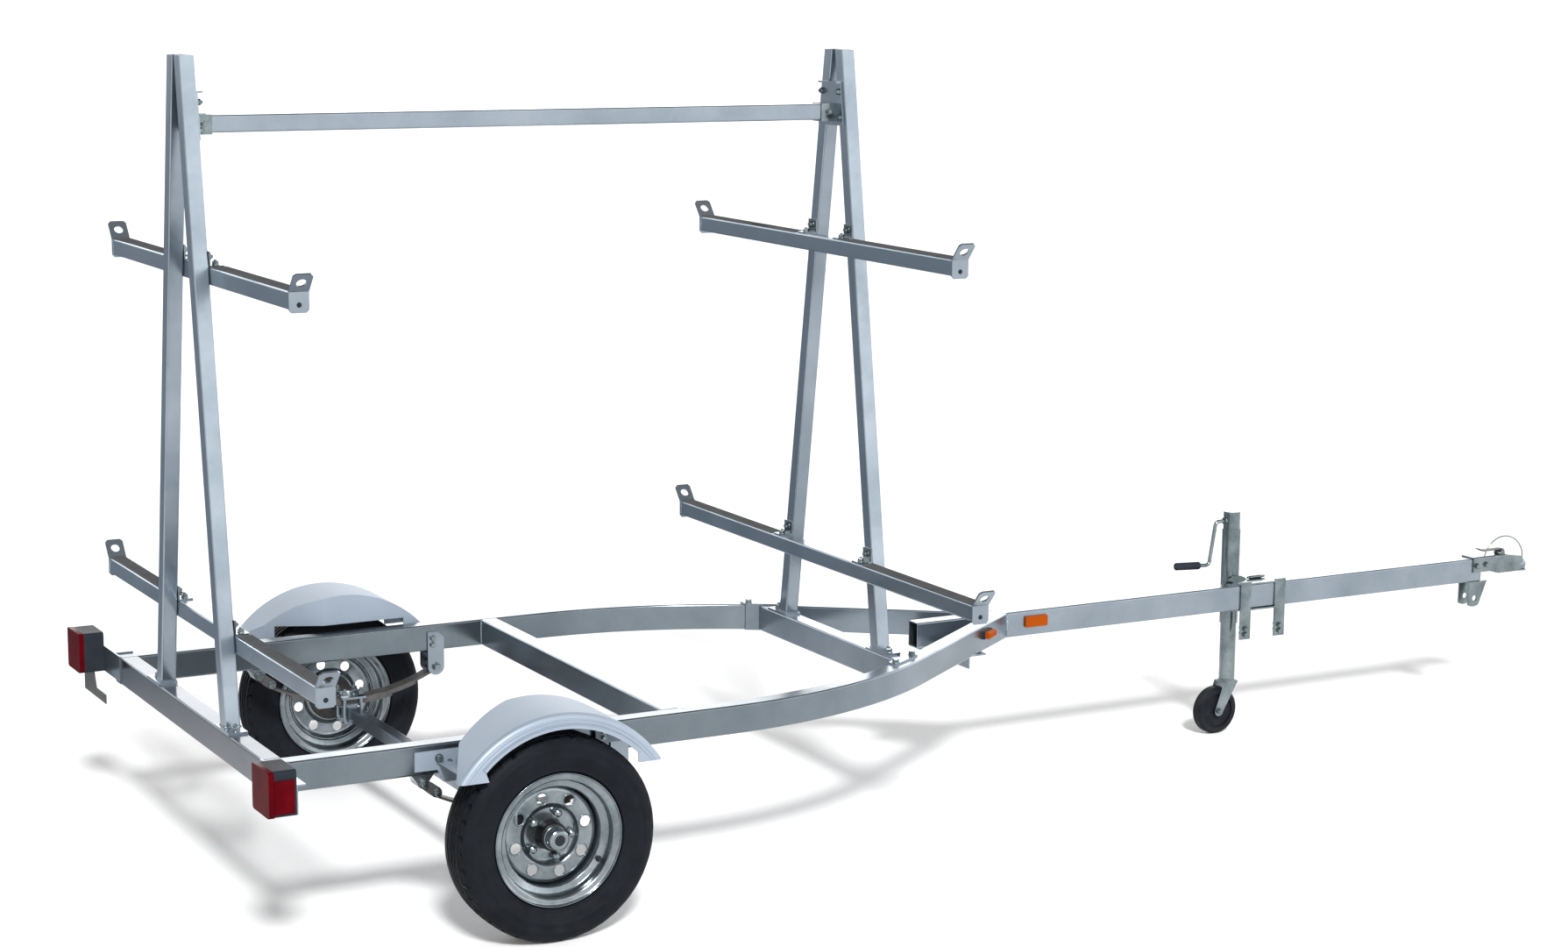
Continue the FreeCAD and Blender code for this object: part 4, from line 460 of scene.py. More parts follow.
def wire(shape, points, closed=True):
    """A chain of edges through points."""
    corners = [shape.verts.new(point) for point in points]
    for first, second in zip(corners, corners[1:] + corners[:1] if closed else corners[1:]):
        shape.edges.new((first, second))
    return corners


def round_corners(shape, corners, radius, segments=2):
    """Sharp corners of a wire become small arcs."""
    bmesh.ops.bevel(shape, geom=corners, offset=radius, offset_type="OFFSET", segments=segments,
                    profile=0.5, affect="VERTICES", material=-1, clamp_overlap=True)


def push(shape, made, way):
    """The corners among freshly made geometry are moved."""
    corners = [part for part in made if isinstance(part, bmesh.types.BMVert)]
    bmesh.ops.translate(shape, vec=way, verts=corners)


def block(shape, middle, size):
    """A box from its middle and its size."""
    stretch = Matrix.Diagonal((*size, 1.0))
    bmesh.ops.create_cube(shape, size=1.0, matrix=Matrix.Translation(middle) @ stretch)


def round_edges(shape, edges, radius, segments):
    """Sharp edges of a solid become small arcs."""
    bmesh.ops.bevel(shape, geom=edges, offset=radius, segments=segments, profile=0.5, affect="EDGES",
                    material=-1)


def turn(shape, centre, axis, steps, angle=2 * math.pi):
    """Everything in the shape so far is turned about an axis, as on a lathe."""
    full = abs(angle - 2 * math.pi) < 1e-6
    bmesh.ops.spin(shape, geom=shape.verts[:] + shape.edges[:] + shape.faces[:], cent=centre, axis=axis,
                   angle=angle, steps=steps, use_merge=full)


SIDES = ("left", "right")
wheel_centre = {side: centre_of("tyre_" + side) for side in SIDES}
outward = {"left": 1.0, "right": -1.0}
AXLE_WAY = Vector((0.0, 1.0, 0.0))
print("wheel centres, m:", {side: [round(v, 3) for v in place] for side, place in wheel_centre.items()})


def on_wheel(side, out, radius):
    """A point above the axle, from millimetres outward from the wheel's middle plane and a radius."""
    return wheel_centre[side] + Vector((0.0, outward[side] * out / 1000.0, radius / 1000.0))


# %% [markdown]
# ### Tyres
# A trailer tyre has a flat tread with zigzag grooves, slots in its shoulders, and thin ribs on its
# sidewalls that keep the rim off kerbs. A texture could carry the tread, but grooves show at the tyre's
# edge. The section is turned about the axle, and then the strips that are grooves are pushed inward.

# %% Tyre section and tread
# outward from the middle plane, radius; from the bead to the middle of the tread
TYRE_SECTION = [(46.0, 153.0), (47.4, 165.0), (51.0, 173.4), (55.0, 174.2), (58.6, 176.0), (59.6, 180.0),
                (59.0, 183.0), (61.8, 190.0), (64.8, 200.0), (66.4, 209.0), (67.5, 211.0), (67.5, 213.0),
                (66.8, 215.0), (67.0, 223.0), (66.8, 231.0), (67.4, 233.0), (67.2, 235.0), (66.0, 237.0),
                (64.0, 244.0), (60.5, 250.5), (56.0, 256.0), (52.0, 259.0), (48.0, 261.0), (32.5, 262.2),
                (27.5, 262.4), (12.5, 262.9), (7.5, 262.95)]
TREAD_STEPS = 240
PITCH = 6                    # steps from one slot or zigzag to the next
GROOVES = ((6.0, 14.0), (26.0, 34.0))
ZIGZAG_BAND = 33.0           # millimetres from the middle, and no further
ZIGZAG = 0.0011              # metres sideways for each step
TREAD_FROM, SLOTS_FROM = 0.2615, 0.2572    # radius in metres beyond which each begins
GROOVE_SHRINK = 0.977        # groove floors lie on a smaller circle


def tyre(side):
    shape = bmesh.new()
    section = TYRE_SECTION + [(-out, radius) for out, radius in reversed(TYRE_SECTION)]
    wire(shape, [on_wheel(side, out, radius) for out, radius in section])
    turn(shape, wheel_centre[side], AXLE_WAY, TREAD_STEPS)
    centre = wheel_centre[side]
    for corner in shape.verts:
        away = corner.co - centre
        across = abs(away.y) * 1000.0
        if away.xz.length > TREAD_FROM and across < ZIGZAG_BAND:
            step = round(math.atan2(away.z, away.x) / (2 * math.pi) * TREAD_STEPS) % PITCH
            corner.co.y += ZIGZAG * (abs(step - PITCH / 2) - PITCH / 4)
    sunk = []
    for face in shape.faces:
        away = face.calc_center_median() - centre
        across = abs(away.y) * 1000.0
        step = math.floor(math.atan2(away.z, away.x) / (2 * math.pi) * TREAD_STEPS)
        groove = any(start < across < end for start, end in GROOVES)
        slot = across > GROOVES[-1][1] and (step + (PITCH // 2 if away.y > 0 else 0)) % PITCH == 0
        if away.xz.length > SLOTS_FROM and (groove or slot):
            sunk.append(face)
    pushed = bmesh.ops.extrude_face_region(shape, geom=sunk)["geom"]
    floor_corners = [part for part in pushed if isinstance(part, bmesh.types.BMVert)]
    bmesh.ops.scale(shape, vec=(GROOVE_SHRINK, 1.0, GROOVE_SHRINK), space=Matrix.Translation(-centre),
                    verts=floor_corners)
    piece = save_piece(shape, f"road_tyre_{side}", f"wheel_{side}", "tyre_rubber", 28.0)
    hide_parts(f"tyre_{side}")
    return piece


for side in SIDES:
    print(side, "tyre has", len(tyre(side).data.polygons), "faces")

# %% [markdown]
# ### Rims
# A small trailer wheel is two steel pressings. The outer ring, or barrel, has a lip rolled at each edge
# to hold the tyre, and a well in the middle that lets a tyre be fitted. The disc that is welded into the
# well is dished for stiffness and has eight round vents. The barrel is one thin section turned about the
# axle. The disc is turned too, and the vents and stud holes are cut with a Boolean modifier, because
# round holes through a curved plate are hard to place in a turned mesh.

# %% Barrel
BARREL_OUTSIDE = [(44.5, 152.4), (47.6, 156.0), (48.4, 164.0), (50.8, 169.2), (54.4, 171.4), (57.4, 169.4),
                  (55.6, 167.2), (53.6, 167.4), (51.4, 163.6), (50.6, 154.0), (47.2, 149.6), (27.0, 148.4),
                  (23.0, 144.0), (21.0, 130.0), (17.0, 127.2)]
BARREL_WELL = [(14.5, 130.0), (18.4, 133.0), (20.4, 146.0), (25.0, 151.2)]


def barrel(side):
    shape = bmesh.new()
    inner_rim = [(-out, radius) for out, radius in reversed(BARREL_OUTSIDE)]
    inner_well = [(-out, radius) for out, radius in BARREL_WELL]
    section = [*BARREL_OUTSIDE, *inner_rim, *reversed(inner_well), *BARREL_WELL]
    corners = wire(shape, [on_wheel(side, out, radius) for out, radius in section])
    round_corners(shape, corners, 0.0011)
    turn(shape, wheel_centre[side], AXLE_WAY, 128)
    return save_piece(shape, f"rim_barrel_{side}", f"wheel_{side}", "wheel_steel", 50.0)


barrels = {side: barrel(side) for side in SIDES}
print("barrel faces:", len(barrels["left"].data.polygons))

# %% Disc
# the disc's outboard face from the bore outward, then its back
DISC_SECTION = [(-10.0, 38.0), (-10.0, 67.0), (-6.0, 72.5), (0.0, 77.5), (3.0, 82.0), (3.0, 113.0),
                (0.5, 120.0), (-5.0, 125.0), (-13.0, 127.4), (-19.0, 127.4), (-19.0, 124.0),
                (-13.0, 124.0), (-7.5, 122.0), (-3.0, 117.5), (-1.0, 112.0), (-1.0, 83.5),
                (-3.5, 79.5), (-9.0, 74.8), (-13.5, 69.0), (-13.5, 38.0)]
# radius of the circle, how many, angle of the first one
VENTS = (97.0, 8, 14.0)
STUDS = (57.15, 5, 69.0)
VENT_SIZE, STUD_SIZE = 15.0, 8.0


def around(side, circle, count, first, out):
    """Evenly spaced points on a circle about the axle; the angle runs from forward towards up."""
    points = []
    for step in range(count):
        angle = math.radians(first) + step * 2 * math.pi / count
        from_axle = Vector((math.cos(angle) * circle, outward[side] * out, math.sin(angle) * circle))
        points.append(wheel_centre[side] + from_axle / 1000.0)
    return points


def pointing(place, way):
    """A matrix that stands a shape's Z along a direction, at a place."""
    return Matrix.Translation(place) @ Vector(way).to_track_quat("Z", "Y").to_matrix().to_4x4()


def cut_away(piece, cutters):
    """A closed shape is cut out of a piece, and the result is kept as the piece's own mesh."""
    bmesh.ops.recalc_face_normals(cutters, faces=cutters.faces)
    data = bpy.data.meshes.new("cutters")
    cutters.to_mesh(data)
    cutters.free()
    tool = bpy.data.objects.new("cutters", data)
    scene.collection.objects.link(tool)
    change = piece.modifiers.new("holes", "BOOLEAN")
    change.object = tool
    change.solver = "EXACT"
    bpy.context.view_layer.update()
    made = bpy.data.meshes.new_from_object(piece.evaluated_get(bpy.context.evaluated_depsgraph_get()))
    piece.modifiers.clear()
    piece.data = made
    piece.data.set_sharp_from_angle(angle=math.radians(40.0))
    bpy.data.objects.remove(tool)


def disc(side):
    shape = bmesh.new()
    corners = wire(shape, [on_wheel(side, out, radius) for out, radius in DISC_SECTION])
    round_corners(shape, corners, 0.0012)
    turn(shape, wheel_centre[side], AXLE_WAY, 128)
    piece = save_piece(shape, f"wheel_disc_{side}", f"wheel_{side}", "wheel_steel", 40.0)
    cutters = bmesh.new()
    for ring, size in ((VENTS, VENT_SIZE / 1000), (STUDS, STUD_SIZE / 1000)):
        for place in around(side, *ring, 0.0):
            bmesh.ops.create_cone(cutters, cap_ends=True, segments=32, radius1=size, radius2=size,
                                  depth=0.08, matrix=pointing(place, AXLE_WAY))
    cut_away(piece, cutters)
    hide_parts(f"wheel_rim_{side}")
    return piece


discs = {side: disc(side) for side in SIDES}
print("disc faces:", len(discs["left"].data.polygons))

# %% [markdown]
# The punch that makes a vent also rolls its edge outward, which is the bright ring round each hole. One
# small rounded section is turned about each vent's own middle.

# %% Vent lips
def vent_lips(side):
    shape = bmesh.new()
    for place in around(side, *VENTS, 3.0):
        ring = bmesh.new()
        out = outward[side] / 1000.0
        section = [(14.2, -4.0), (14.2, 0.6), (15.2, 1.6), (16.6, 1.3), (17.8, -0.3)]
        corners = wire(ring, [place + Vector((size / 1000.0, out * rise, 0.0)) for size, rise in section])
        round_corners(ring, corners, 0.0004)
        turn(ring, place, AXLE_WAY, 32)
        add_to(shape, ring)
    return save_piece(shape, f"vent_lips_{side}", f"wheel_{side}", "wheel_steel", 60.0)


for side in SIDES:
    print(side, "vent lips:", len(vent_lips(side).data.polygons), "faces")

# %% [markdown]
# ### Nuts and bolts
# A bolt's head, a nut and a washer are the same few shapes at different sizes: a six-sided prism with its
# top corners chamfered, a flat ring, and a stub of thread. There are almost a hundred on the trailer, so
# each is kept to a few dozen faces, and those of one assembly are joined into one piece.

# %% Nut and bolt helpers
def disc_between(shape, place, way, radius, start, end, top=None, segments=16):
    """A short round bar along a direction, from one distance to another, all in millimetres."""
    way = Vector(way).normalized()
    middle = place + way * ((start + end) / 2000.0)
    bmesh.ops.create_cone(shape, cap_ends=True, segments=segments, radius1=radius / 1000.0,
                          radius2=(radius if top is None else top) / 1000.0, depth=(end - start) / 1000.0,
                          matrix=pointing(middle, way))


def nut(shape, place, way, thread, stub=3.0):
    """A nut on its washer with a stub of thread. Thread is the bolt's diameter in millimetres."""
    part = bmesh.new()
    foot = thread * 0.18                  # the washer's upper face
    shoulder, top = foot + thread * 0.66, foot + thread * 0.86
    corner = thread * 0.92                # from the bolt's middle to a corner of the nut
    disc_between(part, place, way, thread * 1.12, -0.3, foot, thread * 1.08, 20)
    disc_between(part, place, way, corner, foot, shoulder, corner, 6)
    disc_between(part, place, way, corner, shoulder, top, corner * 0.86, 6)
    if stub:
        disc_between(part, place, way, thread * 0.5, foot, top + stub, thread * 0.44, 12)
    add_to(shape, part)


def bolt_head(shape, place, way, thread):
    """A nut without a stub looks like a bolt's head."""
    nut(shape, place, way, thread, stub=0.0)


# %% [markdown]
# ### Hubs
# The hub carries the wheel on its bearings. Five nuts with cone seats hold the disc to it, and a pressed
# cap with a rubber plug keeps the grease in. Hub and cap are turned from their sections.

# %% Hub, cap, plug and wheel nuts
HUB_SECTION = [(-74.0, 24.0), (-74.0, 32.0), (-19.0, 32.0), (-19.0, 66.0), (-10.2, 66.0), (-10.2, 37.0),
               (24.0, 36.4), (28.0, 33.0), (28.0, 24.0)]
CAP_SECTION = [(26.0, 20.0), (26.0, 30.5), (30.5, 30.5), (31.5, 28.0), (50.0, 28.0), (56.0, 26.0),
               (59.0, 21.0), (60.0, 13.5), (57.0, 13.0), (57.0, 0.0)]
PLUG_SECTION = [(56.0, 0.0), (56.0, 12.8), (60.8, 12.8), (62.2, 10.6), (61.0, 7.0), (61.6, 4.0),
                (61.8, 0.0)]


def turned(side, section, name, slot, rounding, steps=64):
    """A solid turned about the axle; a section that starts or ends on the axle is closed there."""
    shape = bmesh.new()
    on_axle = section[-1][1] == 0.0
    corners = wire(shape, [on_wheel(side, out, radius) for out, radius in section], closed=not on_axle)
    if rounding:
        round_corners(shape, [c for c in corners if len(c.link_edges) == 2], rounding)
    turn(shape, wheel_centre[side], AXLE_WAY, steps)
    return save_piece(shape, f"{name}_{side}", f"wheel_{side}", slot, 50.0)


for side in SIDES:
    hub = turned(side, HUB_SECTION, "turned_hub", "hub_steel", 0.0012)
    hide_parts(f"wheel_hub_{side}")
    turned(side, CAP_SECTION, "grease_cap", "zinc_steel", 0.0008)
    turned(side, PLUG_SECTION, "cap_plug", "black_plastic", 0.0005)
    shape = bmesh.new()
    way = AXLE_WAY * outward[side]
    for place in around(side, *STUDS, -10.0):
        disc_between(shape, place, way, 7.9, -3.0, 3.5, 10.6, 24)
        disc_between(shape, place, way, 11.4, 3.5, 15.5, 11.4, 6)
        disc_between(shape, place, way, 11.4, 15.5, 17.5, 9.4, 6)
        disc_between(shape, place, way, 9.0, 17.5, 20.5, 5.0, 20)
    save_piece(shape, f"wheel_nuts_{side}", f"wheel_{side}", "zinc_steel", 30.0)
print("wheels done")

# %% [markdown]
# A tyre valve leans out of the barrel beside the disc. Its rubber foot and cap are turned as well.

# %% Valves
VALVE_SECTION = [(-4.0, 0.0), (-4.0, 8.0), (2.0, 8.0), (4.0, 5.0), (14.0, 4.2), (16.0, 4.2), (16.0, 5.2),
                 (26.0, 5.2), (28.0, 4.0), (28.0, 0.0)]
for side in SIDES:
    shape = bmesh.new()
    lean = math.radians(-31.0)
    spoke = Vector((math.cos(lean), 0.0, math.sin(lean)))
    foot = wheel_centre[side] + spoke * 0.1415 + AXLE_WAY * (outward[side] * 0.0215)
    way = (AXLE_WAY * outward[side] - spoke * 0.45).normalized()
    across = way.cross(spoke).cross(way).normalized()
    wire(shape, [foot + way * (along / 1000.0) + across * (size / 1000.0) for along, size in VALVE_SECTION],
         closed=False)
    turn(shape, foot, way, 20)
    save_piece(shape, f"tyre_valve_{side}", f"wheel_{side}", "black_plastic", 40.0)
print("valves done")

# %% [markdown]
# ## The frame's small parts
# All of these places are measured from one point: the ground under the middle of the axle, which the
# wheels' boxes give. Forward is X, left is Y and up is Z, in millimetres.

# %% Places along the trailer
axle_x = wheel_centre["left"].x


def at(x, y, z):
    """A place in millimetres from the ground under the axle's middle."""
    return Vector((axle_x + x / 1000.0, y / 1000.0, z / 1000.0))


FORWARD, LEFT, UP = Vector((1.0, 0.0, 0.0)), Vector((0.0, 1.0, 0.0)), Vector((0.0, 0.0, 1.0))
frame_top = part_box("rail_left")[1].z * 1000.0
rear_cross_front = (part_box("crossmember_rear")[1].x - axle_x) * 1000.0
front_cross_rear = (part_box("crossmember_front")[0].x - axle_x) * 1000.0
print("frame top, mm:", round(frame_top, 1))
print("crossmembers, mm:", round(rear_cross_front, 1), round(front_cross_rear, 1))

# %% [markdown]
# ### Mast bolts
# The masts come off for storage, so they are bolted: feet to the frame, clips to arms and legs, plates
# and cradles to the legs' tops. Each of these bolts shows its nut with some thread. Bolt heads show on the
# saddles of the front crossmember, and a black plastic plug low on the plate at each arm's end.

# %% Bolts of the masts
HALF_TUBE = 25.4             # frame tube, 50.8 wide
ARM_SIZE = 44.45
ARMS = ("upper_rear", "lower_rear", "upper_front", "lower_front")
FOOT_BOLT_Y, FOOT_TOP = 322, 496
APEX_BOLTS_Z, CRADLE_BOLT_Y, CRADLE_BOLT_Z = (1972, 2042), 26.4, 1986
SADDLE_BOLTS, SADDLE_TOP = ((1205, 433), (1292, 375.6)), 495
LEG_FOOT_Y, LEG_FOOT_Z, LEG_IN, LEG_UP = 269.0, 490.0, 240.0, 1668.0


def leg_middle(z):
    """How far a mast's leg is from the middle at a height; the legs lean in evenly."""
    return LEG_FOOT_Y - (z - LEG_FOOT_Z) * LEG_IN / LEG_UP


shape, plugs = bmesh.new(), bmesh.new()
front_face = rear_cross_front              # the rear mast's front face lies here
rear_face = (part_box("arm_upper_front")[1].x - axle_x) * 1000.0
for hand in (-1, 1):
    for cross in (rear_cross_front - HALF_TUBE, front_cross_rear + HALF_TUBE):
        nut(shape, at(cross, hand * FOOT_BOLT_Y, FOOT_TOP), UP, 11.0, 5.0)
    for face, toward, arms in ((front_face, 1, ARMS[:2]), (rear_face, -1, ARMS[2:])):
        for arm in arms:
            low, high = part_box("arm_" + arm)
            top = high.z * 1000.0
            y = hand * leg_middle(top + 20)
            nut(shape, at(face + toward * 24, y, top + 4), UP, 9.0, 4.0)
            nut(shape, at(face + toward * 4, y, top + 25), FORWARD * toward, 9.0, 4.0)
            end = high.y * 1000.0 + 5.0
            middle = (low.x + high.x) * 500.0 - axle_x * 1000.0
            plug_place = at(middle, hand * end, top - ARM_SIZE + 12)
            disc_between(plugs, plug_place, LEFT * hand, 7.0, -1.0, 2.5, 5.0)
        for z in APEX_BOLTS_Z:
            nut(shape, at(face + toward * 5, hand * leg_middle(z), z), FORWARD * toward, 9.0, 4.0)
        cradle_bolt = at(face + toward * 27, hand * CRADLE_BOLT_Y, CRADLE_BOLT_Z)
        nut(shape, cradle_bolt, LEFT * hand, 8.0, 3.0)
for x, y in SADDLE_BOLTS:
    for hand in (-1, 1):
        bolt_head(shape, at(x, hand * y, SADDLE_TOP), UP, 10.0)
mast_bolts = save_piece(shape, "mast_bolts", "chassis", "zinc_steel", 30.0)
save_piece(plugs, "arm_end_plugs", "chassis", "black_plastic", 30.0)
print("mast bolts:", len(mast_bolts.data.polygons), "faces")

# %% [markdown]
# ### Arm pads
# From each leg outward a ribbed rubber pad is glued on the arm, so that a hull doesn't rub on zinc. Its
# outline across the arm is drawn once as a wire with four grooves, filled, and drawn out along the arm.

# %% Arm pads
PAD_OUTLINE = [(-19.0, -0.5), (-19.0, 2.0), (-18.0, 3.0)]
for groove in (-10.8, -3.6, 3.6, 10.8):
    PAD_OUTLINE += [(groove - 1.4, 3.0), (groove - 0.8, 2.0), (groove + 0.8, 2.0), (groove + 1.4, 3.0)]
PAD_OUTLINE += [(18.0, 3.0), (19.0, 2.0), (19.0, -0.5)]
shape = bmesh.new()
for arm in ARMS:
    low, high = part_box("arm_" + arm)
    middle, top = (low.x + high.x) * 500.0 - axle_x * 1000.0, high.z * 1000.0
    for hand in (-1, 1):
        pad = bmesh.new()
        inner, outer = leg_middle(top) + 34.0, high.y * 1000.0 - 1.0
        wire(pad, [at(middle + across, hand * inner, top + up) for across, up in PAD_OUTLINE])
        outline = bmesh.ops.edgenet_fill(pad, edges=pad.edges[:])["faces"]
        drawn = bmesh.ops.extrude_face_region(pad, geom=outline, use_keep_orig=True)["geom"]
        push(pad, drawn, LEFT * (hand * (outer - inner) / 1000.0))
        add_to(shape, pad)
pads = save_piece(shape, "arm_pads", "chassis", "tyre_rubber", 25.0, look="pad_rubber")
print("arm pads:", len(pads.data.polygons), "faces")

# %% [markdown]
# ### Spring and fender bolts
# A bolt through the front hanger holds each leaf spring's front eye, and its rear eye hangs from a shackle
# with a bolt at each end. Two U-bolts with four nuts clamp the spring to the axle. Bolts also hold the
# fender's brackets. Each place is a distance from the axle and a height, and is the same on both sides.

# %% Bolts of the springs and fenders
RAIL_OUTER = 645
SPRING_MIDDLE = RAIL_OUTER - HALF_TUBE
FRONT_EYE = (257, 366)
SHACKLE_BOLTS = ((-241, 366), (-276, 393))
HANGER_HEADS_X, HANGER_HEADS_Z = 247, (432, 452)
LINK_FACE = 22.2 + 0.5 + 6.0     # half the spring's width, a gap and a shackle link's thickness
U_BOLT_X, U_BOLT_OFF = 24.55, 28.2
U_BOLT_NUTS_Z = 311.1            # 6 mm above the tie plate, so these nuts stand clear of it
REAR_STAY_BOLTS = ((-238, 456), (-210, 440))
# their plate runs from 645 to 650, so these heads stand off it, and these nuts run through it
REAR_STAY_HEAD_Y, REAR_STAY_NUT_Y = 660, 655
FENDER_HEADS_X, FENDER_HEADS_Y, FENDER_HEADS_Z = 207, 662, (455, 470)
shape = bmesh.new()
hanger_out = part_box("spring_hangers")[1].y * 1000.0
hanger_in = 2 * SPRING_MIDDLE - hanger_out
for hand in (-1, 1):
    outside, inside = LEFT * hand, LEFT * -hand
    nut(shape, at(FRONT_EYE[0], hand * hanger_out, FRONT_EYE[1]), outside, 12.0, 5.0)
    bolt_head(shape, at(FRONT_EYE[0], hand * hanger_in, FRONT_EYE[1]), inside, 12.0)
    for z in HANGER_HEADS_Z:
        bolt_head(shape, at(HANGER_HEADS_X, hand * hanger_in, z), inside, 9.0)
    for x, z in SHACKLE_BOLTS:
        nut(shape, at(x, hand * (SPRING_MIDDLE + LINK_FACE), z), outside, 11.0, 4.0)
        bolt_head(shape, at(x, hand * (SPRING_MIDDLE - LINK_FACE), z), inside, 11.0)
    for x in (-U_BOLT_X, U_BOLT_X):
        for off in (-U_BOLT_OFF, U_BOLT_OFF):
            nut(shape, at(x, hand * (SPRING_MIDDLE + off), U_BOLT_NUTS_Z), UP, 9.5, 8.0)
    for x, z in REAR_STAY_BOLTS:
        bolt_head(shape, at(x, hand * REAR_STAY_HEAD_Y, z), outside, 9.0)
        nut(shape, at(x, hand * REAR_STAY_NUT_Y, z), inside, 9.0, 2.0)
    for z in FENDER_HEADS_Z:
        bolt_head(shape, at(FENDER_HEADS_X, hand * FENDER_HEADS_Y, z), outside, 7.0)
spring_bolts = save_piece(shape, "spring_bolts", "chassis", "zinc_steel", 30.0)
print("spring bolts:", len(spring_bolts.data.polygons), "faces")

# %% [markdown]
# ### Weld beads
# The welder's torch leaves a row of ripples where two tubes meet. Each ripple is a squashed ball half
# sunk in the corner. The legs are welded to their feet, the rear and middle crossmembers to the rails,
# both rails to the tongue, and the plates with the lashing eyes to the arms.

# %% Welds
def weld(shape, start, end, size=3.0):
    """A row of ripples from one place to another."""
    part = bmesh.new()
    way = end - start
    count = max(2, round(way.length * 1000.0 / (size * 0.95)))
    for step in range(count + 1):
        place = start.lerp(end, step / count)
        bmesh.ops.create_uvsphere(part, u_segments=8, v_segments=5, radius=size / 1000.0,
                                  matrix=pointing(place, way) @ Matrix.Diagonal((1.0, 1.0, 0.6, 1.0)))
    add_to(shape, part)


RAIL_INNER = RAIL_OUTER - 2 * HALF_TUBE
TONGUE_JOINT, TONGUE_SIDE = 1836, 25.6
MASTS_X = (-642.85, 1252.0)
HALF_LEG = 20.65
LEG_CORNERS = ((-1, -1), (1, -1), (1, 1), (-1, 1), (-1, -1))    # and back to the first
shape = bmesh.new()
rear_cross, middle_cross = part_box("crossmember_rear"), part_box("crossmember_middle")
for hand in (-1, 1):
    for end in (rear_cross[1], *middle_cross):
        x = (end.x - axle_x) * 1000.0
        weld(shape, at(x, hand * RAIL_INNER, 418), at(x, hand * RAIL_INNER, 486))
    y = hand * TONGUE_SIDE
    weld(shape, at(TONGUE_JOINT, y, 419), at(TONGUE_JOINT, y, 485))
    for mast in MASTS_X:
        y = hand * leg_middle(FOOT_TOP)
        ring = [at(mast + i * HALF_LEG, y + j * HALF_LEG, FOOT_TOP + 0.5) for i, j in LEG_CORNERS]
        for first, second in zip(ring, ring[1:]):
            weld(shape, first, second, 2.4)
    for arm in ARMS:
        low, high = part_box("arm_" + arm)
        for x in (low.x, high.x):
            foot = Vector((x, hand * high.y, low.z + 0.004))
            weld(shape, foot, Vector((x, hand * high.y, high.z - 0.004)), 1.8)
welds = save_piece(shape, "weld_beads", "chassis", "galvanised_steel", 60.0)
print("weld beads:", len(welds.data.polygons), "faces")

# %% [markdown]
# ### Fender beads
# A pressed fender is thin sheet, so two beads are rolled into it round the wheel opening to keep it from
# drumming. They could be cut into a new fender. A raised bead of the same paint laid on the CAD fender
# looks the same and leaves its shape alone.

# %% Beads
def round_outline(shape, place, way, size):
    """A small circle of edges, ready to be drawn along a path."""
    bmesh.ops.create_circle(shape, cap_ends=False, segments=12, radius=size / 1000.0,
                            matrix=pointing(place, way))


for side in SIDES:
    shape = bmesh.new()
    hub = wheel_centre[side]
    face_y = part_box("fender_" + side)[1 if side == "left" else 0].y - outward[side] * 0.004
    for radius, size in ((302.5, 2.6), (311.0, 2.2)):
        start = math.asin(178.5 / radius) + math.radians(1.0)
        bead = bmesh.new()
        first = Vector((hub.x + math.cos(start) * radius / 1000.0, face_y - outward[side] * 0.0008,
                        hub.z + math.sin(start) * radius / 1000.0))
        round_outline(bead, first, Vector((-math.sin(start), 0.0, math.cos(start))), size)
        turn(bead, Vector((hub.x, face_y, hub.z)), -AXLE_WAY, 72, math.pi - 2 * start)
        bmesh.ops.holes_fill(bead, edges=[e for e in bead.edges if e.is_boundary], sides=0)
        add_to(shape, bead)
    save_piece(shape, f"fender_beads_{side}", "chassis", "fender_sheet", 60.0)
print("fender beads done")

# %% [markdown]
# ### Tail lamps
# A tail lamp's lens is red acrylic clipped over a black housing. Its face has a raised rim, and inside
# it ribs that spread the light, with a screw near each end. The face of a rounded block is inset and
# pushed in, then cut into strips, and every other strip is pushed in a little more. A second, narrow block
# is the strip of lens that wraps round the lamp's outer side.

# %% Lens
RIM_WIDTH, FACE_DROP, RIB_DROP = 0.005, 0.0018, 0.0016
RIBS = 18


